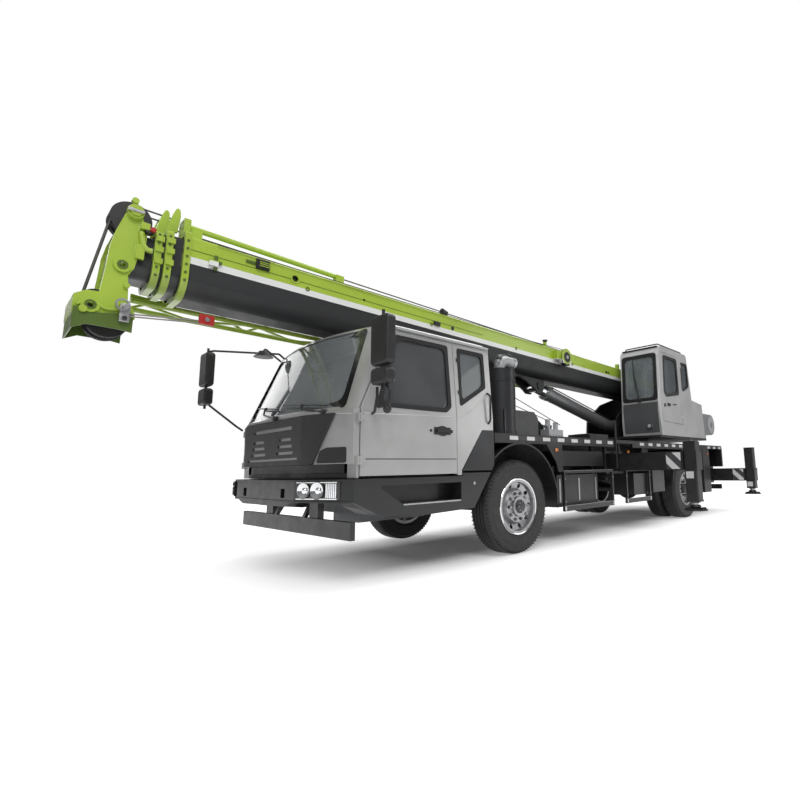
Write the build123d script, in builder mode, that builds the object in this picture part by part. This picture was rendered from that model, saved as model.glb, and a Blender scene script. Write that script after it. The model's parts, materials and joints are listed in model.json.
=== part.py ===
from build123d import *
import os
from math import cos, hypot, pi, radians, sin

# Two-axle truck crane with a four-section boom, outriggers out sideways and jacks up.
# +X is the front of the carrier, +Y its left side, +Z up, millimetres, on the road at Z = 0.

os.makedirs("parts", exist_ok=True)

# ---------------------------------------------------------------- driving dimensions
FRONT_AXLE_X = 1430
REAR_AXLE_X = -3270
HALF_LENGTH = 5270          # from the middle to the boom's nose, and to the rear bumper
HALF_WIDTH = 1235           # cab sides and deck edge
SEAT = 0.3                  # running gap at pads, pins and rods

TYRE_RADIUS = 520
TYRE_WIDTH = 275
RIM_RADIUS = 300
FRONT_WHEEL_Y = HALF_WIDTH - 190
REAR_OUTER_Y = HALF_WIDTH - 180
REAR_INNER_Y = REAR_OUTER_Y - 320
KINGPIN_Y = FRONT_WHEEL_Y - 195

RAIL_INNER_Y = 400
RAIL_OUTER_Y = 480
RAIL_BOTTOM = 760
RAIL_TOP = 1290
FRONT_RAIL_TOP = 890
RAIL_STEP_X = 1780          # where the tall rear frame steps down to go under the cab
TAIL_X = 100 - HALF_LENGTH  # rear face of the tail plate
DECK_TOP = 1330
RING_X = -2920              # slewing centre
RING_TOP = 1410

CAB_REAR_X = 1890
CAB_BOTTOM = 890
BELT_Z = 1470
ROOF_Z = 2300
WALL = 50
DOOR_GAP = 6

BOOM_ANGLE = 1.1            # nose-up angle of the stowed boom, degrees
PIVOT_X = -4330
PIVOT_Z = 2540


# ---------------------------------------------------------------- helpers
def block(x_span, y_span, z_span, mode=Mode.ADD):
    """Box between two opposite corners."""
    centre = [(low + high) / 2 for low, high in (x_span, y_span, z_span)]
    size = [high - low for low, high in (x_span, y_span, z_span)]
    with Locations(tuple(centre)):
        Box(*size, mode=mode)


def side_prism(points, y_span, mode=Mode.ADD, grow=0):
    """Outline in X and Z, grown if asked, extruded across the vehicle."""
    with BuildSketch(Plane.XZ.offset(-y_span[1])) as outline:
        Polygon(*points, align=None)
        if grow:
            offset(amount=grow, kind=Kind.INTERSECTION)
    extrude(outline.sketch, amount=y_span[1] - y_span[0], mode=mode)


def plan_prism(points, z_span, mode=Mode.ADD):
    """Outline in X and Y, extruded upwards."""
    with BuildSketch(Plane.XY.offset(z_span[0])) as outline:
        Polygon(*points, align=None)
    extrude(outline.sketch, amount=z_span[1] - z_span[0], mode=mode)


def front_prism(points, x_span, mode=Mode.ADD):
    """Outline in Y and Z, extruded along the vehicle."""
    with BuildSketch(Plane.YZ.offset(x_span[0])) as outline:
        Polygon(*points, align=None)
    extrude(outline.sketch, amount=x_span[1] - x_span[0], mode=mode)


def bar(start, end, radius, mode=Mode.ADD):
    """Round bar from one point to another."""
    axis = Vector(*end) - Vector(*start)
    with BuildSketch(Plane(origin=start, z_dir=axis)) as outline:
        Circle(radius)
    extrude(outline.sketch, amount=axis.length, mode=mode)


def square_bar(start, end, size, mode=Mode.ADD):
    """Square bar from one point to another."""
    axis = Vector(*end) - Vector(*start)
    with BuildSketch(Plane(origin=start, z_dir=axis)) as outline:
        Rectangle(size, size)
    extrude(outline.sketch, amount=axis.length, mode=mode)


def bent_tube(points, bend, radius, mode=Mode.ADD):
    """Round tube or rod through a list of points, with the corners rounded."""
    with BuildLine() as route:
        FilletPolyline(*points, radius=bend)
    start = route.wires()[0]
    with BuildSketch(Plane(origin=start @ 0, z_dir=start % 0)) as section:
        Circle(radius)
    sweep(section.sketch, path=start, mode=mode)


def soft_block(x_span, y_span, z_span, radius, axis=Axis.Z):
    """Box with the four edges along one axis rounded, as a piece of its own."""
    with BuildPart() as body:
        block(x_span, y_span, z_span)
        fillet(body.edges().filter_by(axis), radius)
    return body.part


def side_y_span(side, low, high):
    """Y span between two distances from the middle on one side."""
    return sorted((side * low, side * high))


def save(part, name):
    """Labels a finished piece and writes its file."""
    part.part.label = name
    export_step(part.part, f"parts/{name}.step")


SIDES = {"left": 1, "right": -1}

# ---------------------------------------------------------------- outrigger layout
BEAM_X = 200                # beam section along the vehicle
BEAM_Z = 250
BEAM_LENGTH = 1730
BOX_WALL = 25
CHANNEL_GAP = 5
JACK_TUBE = 165
END_PLATE = 12
JACK_ROD_RADIUS = 45
PAD_RADIUS = 150
PAD_THICK = 35
JACK_FOOT_Z = 350
RETRACTED_Y = HALF_WIDTH - JACK_TUBE / 2 - END_PLATE - 1    # jack's centre when the beam is home
BOX_END_Y = RETRACTED_Y - JACK_TUBE / 2 - 6
# centre line of the left beam, of the right beam, underside, jack's top, jack's centre at rest
OUTRIGGERS = {
    "front": {"left_x": -840, "right_x": -1080, "bottom": 880, "jack_top": 1250, "jack_y": HALF_WIDTH + 1050},
    "rear": {"left_x": TAIL_X + 200, "right_x": TAIL_X + 440, "bottom": 610, "jack_top": 1270,
             "jack_y": HALF_WIDTH + 595},
}


def box_span(row):
    """Outer X and Z spans of one outrigger box, round its two channels."""
    reach = BEAM_X / 2 + CHANNEL_GAP + BOX_WALL
    low = min(row["left_x"], row["right_x"]) - reach
    high = max(row["left_x"], row["right_x"]) + reach
    top = row["bottom"] + BEAM_Z + CHANNEL_GAP + BOX_WALL
    return (low, high), (row["bottom"] - CHANNEL_GAP - BOX_WALL, top)


def cut_outrigger_bays(z_high):
    """Clears the room that the boxes, beams and jacks take, up to a height."""
    for row in OUTRIGGERS.values():
        x_span, z_span = box_span(row)
        block(x_span, (-HALF_WIDTH - 50, HALF_WIDTH + 50), (0, z_high), mode=Mode.SUBTRACT)


# ---------------------------------------------------------------- chassis
TOW_EYE_Z = 1000
TOW_EYE_RADIUS = 25

with BuildPart() as chassis_frame:
    rail = [
        (TAIL_X + 20, RAIL_BOTTOM), (3480, RAIL_BOTTOM), (3480, FRONT_RAIL_TOP), (RAIL_STEP_X, FRONT_RAIL_TOP),
        (RAIL_STEP_X - 200, RAIL_TOP), (TAIL_X + 20, RAIL_TOP),
    ]
    for side in SIDES.values():
        side_prism(rail, side_y_span(side, RAIL_INNER_Y, RAIL_OUTER_Y))
    for cross_x in (-4450, -3850, -2700, -1500, -300, 700, 1500):
        block((cross_x - 60, cross_x + 60), (-RAIL_INNER_Y, RAIL_INNER_Y), (RAIL_BOTTOM + 120, RAIL_TOP - 40))
    block((3280, 3400), (-RAIL_INNER_Y, RAIL_INNER_Y), (RAIL_BOTTOM, FRONT_RAIL_TOP))
    block((TAIL_X + 20, RAIL_STEP_X - 200), (-RAIL_INNER_Y, RAIL_INNER_Y), (RAIL_TOP - 20, RAIL_TOP))
    with Locations((RING_X, 0, RAIL_TOP)):
        Cylinder(620, RING_TOP - RAIL_TOP, align=(Align.CENTER, Align.CENTER, Align.MIN))
    for row in OUTRIGGERS.values():
        x_span, z_span = box_span(row)
        block(x_span, (-HALF_WIDTH, HALF_WIDTH), z_span, mode=Mode.SUBTRACT)
    block((TAIL_X, TAIL_X + 20), (-HALF_WIDTH, HALF_WIDTH), (900, RAIL_TOP))
    block((TAIL_X, TAIL_X + 20), (-RAIL_OUTER_Y, RAIL_OUTER_Y), (430, 900))
    block((TAIL_X - 60, TAIL_X + 20), (-90, 90), (TOW_EYE_Z - 60, TOW_EYE_Z + 60))
    block((TAIL_X - 90, TAIL_X), (-60, 60), (TOW_EYE_Z - 20, TOW_EYE_Z + 20))
    block((TAIL_X - 60, TAIL_X), (-90, 90), (TOW_EYE_Z + 20, TOW_EYE_Z + 70), mode=Mode.SUBTRACT)
    block((TAIL_X - 60, TAIL_X), (-90, 90), (TOW_EYE_Z - 70, TOW_EYE_Z - 20), mode=Mode.SUBTRACT)
    with Locations((TAIL_X - 45, 0, TOW_EYE_Z)):
        Cylinder(TOW_EYE_RADIUS, 40, mode=Mode.SUBTRACT)
    for side in SIDES.values():
        block((TAIL_X - 40, TAIL_X), side_y_span(side, 380, 440), (440, 520))
        # corner plates of the tail, open between them for the jacks
        block((TAIL_X + 20, TAIL_X + 60), side_y_span(side, HALF_WIDTH - 110, HALF_WIDTH), (900, RAIL_TOP))
        block((TAIL_X + 770, TAIL_X + 1120), side_y_span(side, 1000, HALF_WIDTH), (410, RAIL_TOP))
        block((TAIL_X + 790, TAIL_X + 1100), side_y_span(side, RAIL_OUTER_Y, 1000), (RAIL_TOP - 60, RAIL_TOP))
        block((TAIL_X + 785, TAIL_X + 1105), side_y_span(side, 990, HALF_WIDTH - 12), (425, RAIL_TOP - 15),
              mode=Mode.SUBTRACT)
    block((TAIL_X - 100, TAIL_X - 40), (-1150, 1150), (430, 530))
save(chassis_frame, "chassis_frame")

with BuildPart() as outrigger_boxes:
    for row in OUTRIGGERS.values():
        x_span, z_span = box_span(row)
        block(x_span, (-BOX_END_Y, BOX_END_Y), z_span)
        for side in SIDES.values():
            block((x_span[0], x_span[1]), side_y_span(side, BOX_END_Y - 40, BOX_END_Y),
                  (z_span[0] - 14, z_span[1] + 14))
        for beam_x in (row["left_x"], row["right_x"]):
            reach = BEAM_X / 2 + CHANNEL_GAP
            block((beam_x - reach, beam_x + reach), (-HALF_WIDTH, HALF_WIDTH),
                  (row["bottom"] - CHANNEL_GAP, row["bottom"] + BEAM_Z + CHANNEL_GAP), mode=Mode.SUBTRACT)
        for side_name, side in SIDES.items():
            beam_x = row[side_name + "_x"]
            block((beam_x - 80, beam_x + 80), side_y_span(side, BOX_END_Y - 200, BOX_END_Y),
                  (row["bottom"] - CHANNEL_GAP, row["bottom"] - SEAT))
save(outrigger_boxes, "outrigger_boxes")

for end_name, row in OUTRIGGERS.items():
    for side_name, side in SIDES.items():
        beam_x = row[side_name + "_x"]
        jack_y = row["jack_y"]
        beam_z = (row["bottom"], row["bottom"] + BEAM_Z)
        jack_bottom = JACK_FOOT_Z + PAD_THICK + 80
        half_jack = JACK_TUBE / 2
        with BuildPart() as beam:
            block((beam_x - BEAM_X / 2, beam_x + BEAM_X / 2),
                  side_y_span(side, jack_y - BEAM_LENGTH, jack_y - half_jack), beam_z)
            block((beam_x - BEAM_X / 2 + 15, beam_x + BEAM_X / 2 - 15),
                  side_y_span(side, jack_y - BEAM_LENGTH, jack_y - 200), (beam_z[0] + 15, beam_z[1] - 15),
                  mode=Mode.SUBTRACT)
            add(soft_block((beam_x - half_jack, beam_x + half_jack),
                           side_y_span(side, jack_y - half_jack, jack_y + half_jack),
                           (jack_bottom, row["jack_top"] - 18), 18))
            block((beam_x - half_jack, beam_x + half_jack), side_y_span(side, jack_y - half_jack, jack_y + half_jack),
                  (row["jack_top"] - 18, row["jack_top"]))
            block((beam_x - half_jack - 4, beam_x + half_jack + 4),
                  side_y_span(side, jack_y - half_jack, jack_y + half_jack + 4), (jack_bottom, jack_bottom + 20))
            block((beam_x - 100, beam_x + 100), side_y_span(side, jack_y + half_jack, jack_y + half_jack + END_PLATE),
                  beam_z)
            with Locations((beam_x, side * jack_y, jack_bottom)):
                Cylinder(JACK_ROD_RADIUS + SEAT, 500, align=(Align.CENTER, Align.CENTER, Align.MIN),
                         mode=Mode.SUBTRACT)
        save(beam, f"outrigger_beam_{end_name}_{side_name}")
        with BuildPart() as jack:
            with Locations((beam_x, side * jack_y, JACK_FOOT_Z)):
                Cylinder(JACK_ROD_RADIUS, 570, align=(Align.CENTER, Align.CENTER, Align.MIN))
                Cylinder(PAD_RADIUS, 14, align=(Align.CENTER, Align.CENTER, Align.MIN))
                Cone(PAD_RADIUS - 15, 80, PAD_THICK, align=(Align.CENTER, Align.CENTER, Align.MIN))
                Cylinder(62, 75, align=(Align.CENTER, Align.CENTER, Align.MIN))
        save(jack, f"outrigger_jack_{end_name}_{side_name}")

# ---------------------------------------------------------------- deck and mudguards
ARCH_RADIUS = 655
ARCH_Z = 560
ARCH_SHEET = 20


def arch_band(hub_x, y_span, low_z):
    """Curved mudguard sheet over a wheel, cut off below low_z."""
    with BuildSketch(Plane.XZ.offset(-y_span[1])) as band:
        with Locations((hub_x, ARCH_Z)):
            Circle(ARCH_RADIUS + ARCH_SHEET)
            Circle(ARCH_RADIUS, mode=Mode.SUBTRACT)
        with Locations((hub_x, low_z - 500)):
            Rectangle(3 * ARCH_RADIUS, 1000, mode=Mode.SUBTRACT)
    extrude(band.sketch, amount=y_span[1] - y_span[0])


with BuildPart() as deck:
    block((TAIL_X + 20, CAB_REAR_X - 20), (-HALF_WIDTH, HALF_WIDTH), (RAIL_TOP, DECK_TOP))
    with Locations((RING_X, 0, RAIL_TOP)):
        Cylinder(640, 100, mode=Mode.SUBTRACT)
    for side in SIDES.values():
        edge = side_y_span(side, HALF_WIDTH - 20, HALF_WIDTH)
        block((TAIL_X + 1120, CAB_REAR_X - 20), edge, (1225, RAIL_TOP))
        arch_band(FRONT_AXLE_X, side_y_span(side, 700, HALF_WIDTH - 1), 700)
        arch_band(REAR_AXLE_X, side_y_span(side, 570, HALF_WIDTH - 1), 700)
        front_x = FRONT_AXLE_X - ARCH_RADIUS
        side_prism([(front_x + 240, RAIL_TOP), (front_x - 140, RAIL_TOP), (front_x - 140, 890), (front_x - 50, 890),
                    (front_x - 5, 1010)], edge)
    # room for the front wheels when they are steered, and for the cab
    block((CAB_REAR_X - 20, CAB_REAR_X + 500), (-HALF_WIDTH - 50, HALF_WIDTH + 50), (0, 1500), mode=Mode.SUBTRACT)
    cut_outrigger_bays(RAIL_TOP - 10)
save(deck, "deck")

# ---------------------------------------------------------------- engine and driveline
with BuildPart() as engine:
    block((1950, 3000), (-330, 330), (520, 860))
    block((1950, 3000), (-RAIL_INNER_Y, RAIL_INNER_Y), (780, 830))
    block((2050, 2900), (-260, 260), (420, 520))
    bar((1950, 0, 660), (1650, 0, 660), 190)
save(engine, "engine")

SPRING_SEAT_Z = TYRE_RADIUS + 100
with BuildPart() as leaf_springs:
    for hub_x in (FRONT_AXLE_X, REAR_AXLE_X):
        for side in SIDES.values():
            side_prism([
                (hub_x - 640, RAIL_BOTTOM), (hub_x - 560, RAIL_BOTTOM), (hub_x - 560, SPRING_SEAT_Z + 70),
                (hub_x - 120, SPRING_SEAT_Z + 60), (hub_x + 120, SPRING_SEAT_Z + 60), (hub_x + 560, SPRING_SEAT_Z + 70),
                (hub_x + 560, RAIL_BOTTOM), (hub_x + 640, RAIL_BOTTOM), (hub_x + 640, SPRING_SEAT_Z + 50),
                (hub_x + 120, SPRING_SEAT_Z), (hub_x - 120, SPRING_SEAT_Z), (hub_x - 640, SPRING_SEAT_Z + 50),
            ], side_y_span(side, RAIL_INNER_Y + 5, RAIL_OUTER_Y - 5))
save(leaf_springs, "leaf_springs")

with BuildPart() as front_axle:
    block((FRONT_AXLE_X - 55, FRONT_AXLE_X + 55), (60 - KINGPIN_Y, KINGPIN_Y - 60),
          (TYRE_RADIUS - 70, TYRE_RADIUS + 70))
    bar((FRONT_AXLE_X + 120, -620, TYRE_RADIUS - 20), (FRONT_AXLE_X + 120, 620, TYRE_RADIUS - 20), 18)
    for side in SIDES.values():
        block((FRONT_AXLE_X - 70, FRONT_AXLE_X + 70), side_y_span(side, RAIL_INNER_Y, RAIL_OUTER_Y),
              (TYRE_RADIUS + 70, SPRING_SEAT_Z))
        with Locations((FRONT_AXLE_X, side * KINGPIN_Y, TYRE_RADIUS)):
            Cylinder(65, 160)
        block((FRONT_AXLE_X + 50, FRONT_AXLE_X + 125), side_y_span(side, 560, 600),
              (TYRE_RADIUS - 40, TYRE_RADIUS))
save(front_axle, "front_axle")

REAR_TUBE_RADIUS = 75
with BuildPart() as rear_axle:
    bar((REAR_AXLE_X, -REAR_OUTER_Y - 52, TYRE_RADIUS), (REAR_AXLE_X, REAR_OUTER_Y + 52, TYRE_RADIUS),
        REAR_TUBE_RADIUS)
    with Locations((REAR_AXLE_X, 0, TYRE_RADIUS)):
        Sphere(210)
    for side in SIDES.values():
        block((REAR_AXLE_X - 70, REAR_AXLE_X + 70), side_y_span(side, RAIL_INNER_Y, RAIL_OUTER_Y),
              (TYRE_RADIUS + 20, SPRING_SEAT_Z))
    bar((REAR_AXLE_X, 0, TYRE_RADIUS), (1700, 0, 665), 48)
    block((1650, 1800), (-100, 100), (500, 800), mode=Mode.SUBTRACT)
save(rear_axle, "rear_axle")

# ---------------------------------------------------------------- wheels
FRONT_SPINDLE_RADIUS = 50
HAND_HOLES = 10


def wheel_plane(centre_x, centre_y):
    """Half-section plane of a wheel: local x is the radius, local y runs along the axle."""
    return Plane(origin=(centre_x, centre_y, TYRE_RADIUS), x_dir=(1, 0, 0), z_dir=(0, 0, 1))


def tyre_ring(centre_x, centre_y):
    """One tyre, turned about the axle line."""
    half = TYRE_WIDTH / 2
    with BuildSketch(wheel_plane(centre_x, centre_y)) as section:
        with BuildLine():
            Polyline((RIM_RADIUS, -half + 30), (RIM_RADIUS + 60, -half), (TYRE_RADIUS - 70, -half + 3),
                     (TYRE_RADIUS - 8, -half + 30), (TYRE_RADIUS, -half + 60),
                     (TYRE_RADIUS, half - 60), (TYRE_RADIUS - 8, half - 30), (TYRE_RADIUS - 70, half - 3),
                     (RIM_RADIUS + 60, half), (RIM_RADIUS, half - 30), close=True)
        make_face()
    revolve(section.sketch, axis=Axis((centre_x, centre_y, TYRE_RADIUS), (0, 1, 0)))


def rim_disc(centre_x, centre_y, side, profile):
    """Disc wheel turned from its half section; profile rows hold radius and distance outboard."""
    points = [(radius, side * outboard) for radius, outboard in profile]
    with BuildSketch(wheel_plane(centre_x, centre_y)) as section:
        Polygon(*points, align=None)
    revolve(section.sketch, axis=Axis((centre_x, centre_y, TYRE_RADIUS), (0, 1, 0)))


def hand_holes(centre_x, centre_y, radius, size):
    """Round holes through the disc."""
    for index in range(HAND_HOLES):
        angle = 2 * pi * index / HAND_HOLES
        place = (centre_x + radius * cos(angle), centre_y, TYRE_RADIUS + radius * sin(angle))
        bar((place[0], place[1] - 220, place[2]), (place[0], place[1] + 220, place[2]), size, mode=Mode.SUBTRACT)


BEAD_Y = TYRE_WIDTH / 2 - 30
# radius, distance outboard of the tyre's middle plane
FRONT_RIM = [
    (FRONT_SPINDLE_RADIUS + SEAT, 20), (FRONT_SPINDLE_RADIUS + SEAT, 140), (75, 150), (110, 150), (115, 118),
    (175, 112), (205, 60), (262, 80), (270, 125), (RIM_RADIUS + 12, BEAD_Y + 20.5), (RIM_RADIUS + 12, BEAD_Y + 6),
    (RIM_RADIUS, BEAD_Y), (RIM_RADIUS, -BEAD_Y), (RIM_RADIUS + 12, -BEAD_Y - 6), (RIM_RADIUS + 12, -BEAD_Y - 20.5),
    (275, -125), (268, 40), (205, 30), (170, 88), (120, 90), (115, 20),
]
TWIN = REAR_OUTER_Y - REAR_INNER_Y
REAR_RIM = [
    (REAR_TUBE_RADIUS + SEAT, -170), (REAR_TUBE_RADIUS + SEAT, 60), (95, 70), (150, 60), (200, -20), (262, 30),
    (270, 125), (RIM_RADIUS + 12, BEAD_Y + 20.5), (RIM_RADIUS + 12, BEAD_Y + 6), (RIM_RADIUS, BEAD_Y),
    (RIM_RADIUS, -TWIN - BEAD_Y), (RIM_RADIUS + 12, -TWIN - BEAD_Y - 6), (RIM_RADIUS + 12, -TWIN - BEAD_Y - 20.5),
    (275, -TWIN - 125), (268, 0), (205, -60), (150, -170),
]

for side_name, side in SIDES.items():
    with BuildPart() as tyre:
        tyre_ring(FRONT_AXLE_X, side * FRONT_WHEEL_Y)
    save(tyre, f"tyre_front_{side_name}")
    with BuildPart() as rim:
        rim_disc(FRONT_AXLE_X, side * FRONT_WHEEL_Y, side, FRONT_RIM)
        hand_holes(FRONT_AXLE_X, side * FRONT_WHEEL_Y, 234, 26)
    save(rim, f"rim_front_{side_name}")
    with BuildPart() as tyre:
        tyre_ring(REAR_AXLE_X, side * REAR_OUTER_Y)
        tyre_ring(REAR_AXLE_X, side * REAR_INNER_Y)
    save(tyre, f"tyre_rear_{side_name}")
    with BuildPart() as rim:
        rim_disc(REAR_AXLE_X, side * REAR_OUTER_Y, side, REAR_RIM)
        hand_holes(REAR_AXLE_X, side * REAR_OUTER_Y, 232, 26)
    save(rim, f"rim_rear_{side_name}")
    with BuildPart() as knuckle:
        kingpin = (FRONT_AXLE_X, side * KINGPIN_Y)
        fork = ((TYRE_RADIUS + 80 + SEAT, TYRE_RADIUS + 125), (TYRE_RADIUS - 125, TYRE_RADIUS - 80 - SEAT))
        for low, high in fork:
            with Locations((*kingpin, low)):
                Cylinder(60, high - low, align=(Align.CENTER, Align.CENTER, Align.MIN))
            block((FRONT_AXLE_X - 55, FRONT_AXLE_X + 55), side_y_span(side, KINGPIN_Y, KINGPIN_Y + 130), (low, high))
        block((FRONT_AXLE_X - 55, FRONT_AXLE_X + 55), side_y_span(side, KINGPIN_Y + 75, KINGPIN_Y + 130),
              (TYRE_RADIUS - 125, TYRE_RADIUS + 125))
        bar((FRONT_AXLE_X, side * (KINGPIN_Y + 100), TYRE_RADIUS),
            (FRONT_AXLE_X, side * (FRONT_WHEEL_Y + 138), TYRE_RADIUS), FRONT_SPINDLE_RADIUS)
    save(knuckle, f"steering_knuckle_{side_name}")

# ---------------------------------------------------------------- carrier cab
ALL_Y = (-HALF_WIDTH - 65, HALF_WIDTH + 65)
FRONT_X = (2900, 3900)      # reaches past the nose
LOWER = {"nose_x": 3700, "nose_y": 620, "corner": (3530, HALF_WIDTH - 45), "side_x": 3480}
# height, rear x, side y, where the side ends, corner x, corner y, nose x
UPPER = [
    (BELT_Z, CAB_REAR_X, HALF_WIDTH, LOWER["side_x"], 3525, HALF_WIDTH - 60, 3690),
    (ROOF_Z - 50, CAB_REAR_X, HALF_WIDTH - 65, 3160, 3215, HALF_WIDTH - 145, 3400),
    (ROOF_Z, CAB_REAR_X + 40, HALF_WIDTH - 115, 3120, 3175, HALF_WIDTH - 195, 3350),
]
REAR_CUT = [(1800, 800), (2350, 800), (2350, 940), (2060, 1350), (1800, 1350)]     # room for the front wheels


def lower_outline(inset):
    """Faceted plan of the cab below the belt line, moved inwards by inset."""
    side_y = HALF_WIDTH - inset
    corner = (LOWER["corner"][0] - inset * 0.9, LOWER["corner"][1] - inset * 0.8)
    nose = (LOWER["nose_x"] - inset, LOWER["nose_y"] - inset * 0.15)
    rear_x = CAB_REAR_X + inset
    side_x = LOWER["side_x"] - inset * 0.4
    return [
        (rear_x, -side_y), (side_x, -side_y), (corner[0], -corner[1]), (nose[0], -nose[1]),
        (nose[0], nose[1]), corner, (side_x, side_y), (rear_x, side_y),
    ]


def upper_loft(inset, top_inset, mode=Mode.ADD):
    """Glasshouse with a curved front, moved inwards by inset."""
    sketches = []
    for row in UPPER:
        z, rear_x, side_y, side_x, corner_x, corner_y, nose_x = row
        z = min(z, ROOF_Z - top_inset)
        with BuildSketch(Plane.XY.offset(z)) as section:
            with BuildLine():
                side_line = Polyline((corner_x - inset, -corner_y + inset * 0.7),
                                     (side_x - inset * 0.5, -side_y + inset), (rear_x + inset, -side_y + inset),
                                     (rear_x + inset, side_y - inset), (side_x - inset * 0.5, side_y - inset),
                                     (corner_x - inset, corner_y - inset * 0.7))
                ThreePointArc(side_line @ 0, (nose_x - inset, 0), side_line @ 1)
            make_face()
        sketches.append(section.sketch)
        if z >= ROOF_Z - top_inset:
            break
    loft(sketches, ruled=True, mode=mode)


with BuildPart() as cab_cavity:
    plan_prism(lower_outline(WALL), (CAB_BOTTOM - 10, BELT_Z))
    upper_loft(WALL, 65)
    side_prism(REAR_CUT, ALL_Y, mode=Mode.SUBTRACT, grow=WALL)

with BuildPart() as cab_shell:
    plan_prism(lower_outline(0), (CAB_BOTTOM, BELT_Z))
    upper_loft(0, 0)
    side_prism(REAR_CUT, ALL_Y, mode=Mode.SUBTRACT)
    add(cab_cavity.part, mode=Mode.SUBTRACT)

with BuildPart() as glass_shell:
    upper_loft(15, 15)
    upper_loft(24, 24, mode=Mode.SUBTRACT)

ROOF_SPLIT_Z = ROOF_Z - 85
SILL_Z = CAB_BOTTOM + 15
FRONT_LIP_Z = CAB_BOTTOM + 120
DOOR_INNER_Y = HALF_WIDTH - 115
DOOR_X = (2415, 3488)
HINGE = (DOOR_X[1] + 3, HALF_WIDTH + 8)     # door hinge line, X and distance from the middle
HINGE_ROD = 9
HINGE_SLEEVE = 16
HINGE_ROWS = (1000, 1360)
DOOR_OUTLINE = [(DOOR_X[0], SILL_Z), (DOOR_X[1], SILL_Z), (DOOR_X[1], 1480), (3162, ROOF_SPLIT_Z), (2425, ROOF_SPLIT_Z)]
DOOR_WINDOW = [(2490, 1560), (2550, 1510), (3330, 1510), (3120, 2180), (2500, 2180)]
QUARTER_WINDOW = [(2352, 1590), (2352, 2180), (1985, 2180), (1985, 1810)]
WINDSCREEN = [(175 - HALF_WIDTH, 1500), (HALF_WIDTH - 175, 1500), (HALF_WIDTH - 305, 2262), (305 - HALF_WIDTH, 2262)]
REAR_WINDOW = [(-600, 1620), (600, 1620), (600, 2080), (-600, 2080)]
REAR_WALL_X = (CAB_REAR_X - 10, CAB_REAR_X + WALL)


def door_span(side):
    """Y span that holds everything of one door."""
    return side_y_span(side, DOOR_INNER_Y, ALL_Y[1])


def cut_doorways():
    """Clears both door outlines and the gap round them out of the piece being built."""
    for side in SIDES.values():
        side_prism(DOOR_OUTLINE, door_span(side), mode=Mode.SUBTRACT, grow=DOOR_GAP)
        block((DOOR_X[0] - DOOR_GAP, DOOR_X[1] + DOOR_GAP), door_span(side), (CAB_BOTTOM - 5, SILL_Z + 5),
              mode=Mode.SUBTRACT)


def hinge_line(side, low, high, radius, mode=Mode.ADD):
    """Upright cylinder on a carrier door's hinge line."""
    bar((HINGE[0], side * HINGE[1], low), (HINGE[0], side * HINGE[1], high), radius, mode=mode)


with BuildPart() as cab_floor:
    plan_prism(lower_outline(WALL), (CAB_BOTTOM, CAB_BOTTOM + 40))
    side_prism(REAR_CUT, ALL_Y, mode=Mode.SUBTRACT, grow=WALL)
    cut_doorways()
save(cab_floor, "cab_floor")

with BuildPart() as cab_front_wall:
    add(cab_shell.part)
    block(FRONT_X, ALL_Y, (CAB_BOTTOM, ROOF_SPLIT_Z), mode=Mode.INTERSECT)
    cut_doorways()
    front_prism(WINDSCREEN, FRONT_X, mode=Mode.SUBTRACT)
    plan_prism([(3940, -1000), (3510, -HALF_WIDTH - 60), (3510, HALF_WIDTH + 60), (3940, 1000)],
               (CAB_BOTTOM - 5, FRONT_LIP_Z), mode=Mode.SUBTRACT)
    for side in SIDES.values():
        for hinge_z in HINGE_ROWS:
            block((HINGE[0] + HINGE_SLEEVE + 2, HINGE[0] + 34), side_y_span(side, HALF_WIDTH - 60, HINGE[1] + 12),
                  (hinge_z, hinge_z + 70))
            for low in (hinge_z, hinge_z + 58):
                block((HINGE[0] - 8, HINGE[0] + 34), side_y_span(side, HALF_WIDTH + 1, HINGE[1] + 12),
                      (low, low + 12))
            hinge_line(side, hinge_z, hinge_z + 70, HINGE_ROD)
    add(cab_cavity.part, mode=Mode.SUBTRACT)
save(cab_front_wall, "cab_front_wall")

with BuildPart() as cab_rear_wall:
    add(cab_shell.part)
    block((CAB_REAR_X - 10, 2450), ALL_Y, (CAB_BOTTOM, ROOF_SPLIT_Z), mode=Mode.INTERSECT)
    for side in SIDES.values():
        block((REAR_WALL_X[1], 2500), side_y_span(side, HALF_WIDTH - WALL, ALL_Y[1]), (CAB_BOTTOM, ROOF_Z),
              mode=Mode.SUBTRACT)
    block((REAR_WALL_X[1], 2500), ALL_Y, (1350 + WALL + 1, ROOF_Z), mode=Mode.SUBTRACT)
    cut_doorways()
    front_prism(REAR_WINDOW, (REAR_WALL_X[0], REAR_WALL_X[1] + 20), mode=Mode.SUBTRACT)
save(cab_rear_wall, "cab_rear_wall")

with BuildPart() as cab_sides:
    add(cab_shell.part)
    block((REAR_WALL_X[1], FRONT_X[0]), ALL_Y, (CAB_BOTTOM, ROOF_SPLIT_Z), mode=Mode.INTERSECT)
    cut_doorways()
    side_prism(QUARTER_WINDOW, ALL_Y, mode=Mode.SUBTRACT)
    add(cab_rear_wall.part, mode=Mode.SUBTRACT)
save(cab_sides, "cab_sides")

with BuildPart() as cab_roof:
    add(cab_shell.part)
    block((CAB_REAR_X - 50, FRONT_X[1]), ALL_Y, (ROOF_SPLIT_Z, ROOF_Z + 10), mode=Mode.INTERSECT)
    front_prism(WINDSCREEN, FRONT_X, mode=Mode.SUBTRACT)
    for side in SIDES.values():
        block((CAB_REAR_X + 10, 3110), side_y_span(side, HALF_WIDTH - 75, HALF_WIDTH - 45), (ROOF_Z - 50, ROOF_Z - 34))
save(cab_roof, "cab_roof")

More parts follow.
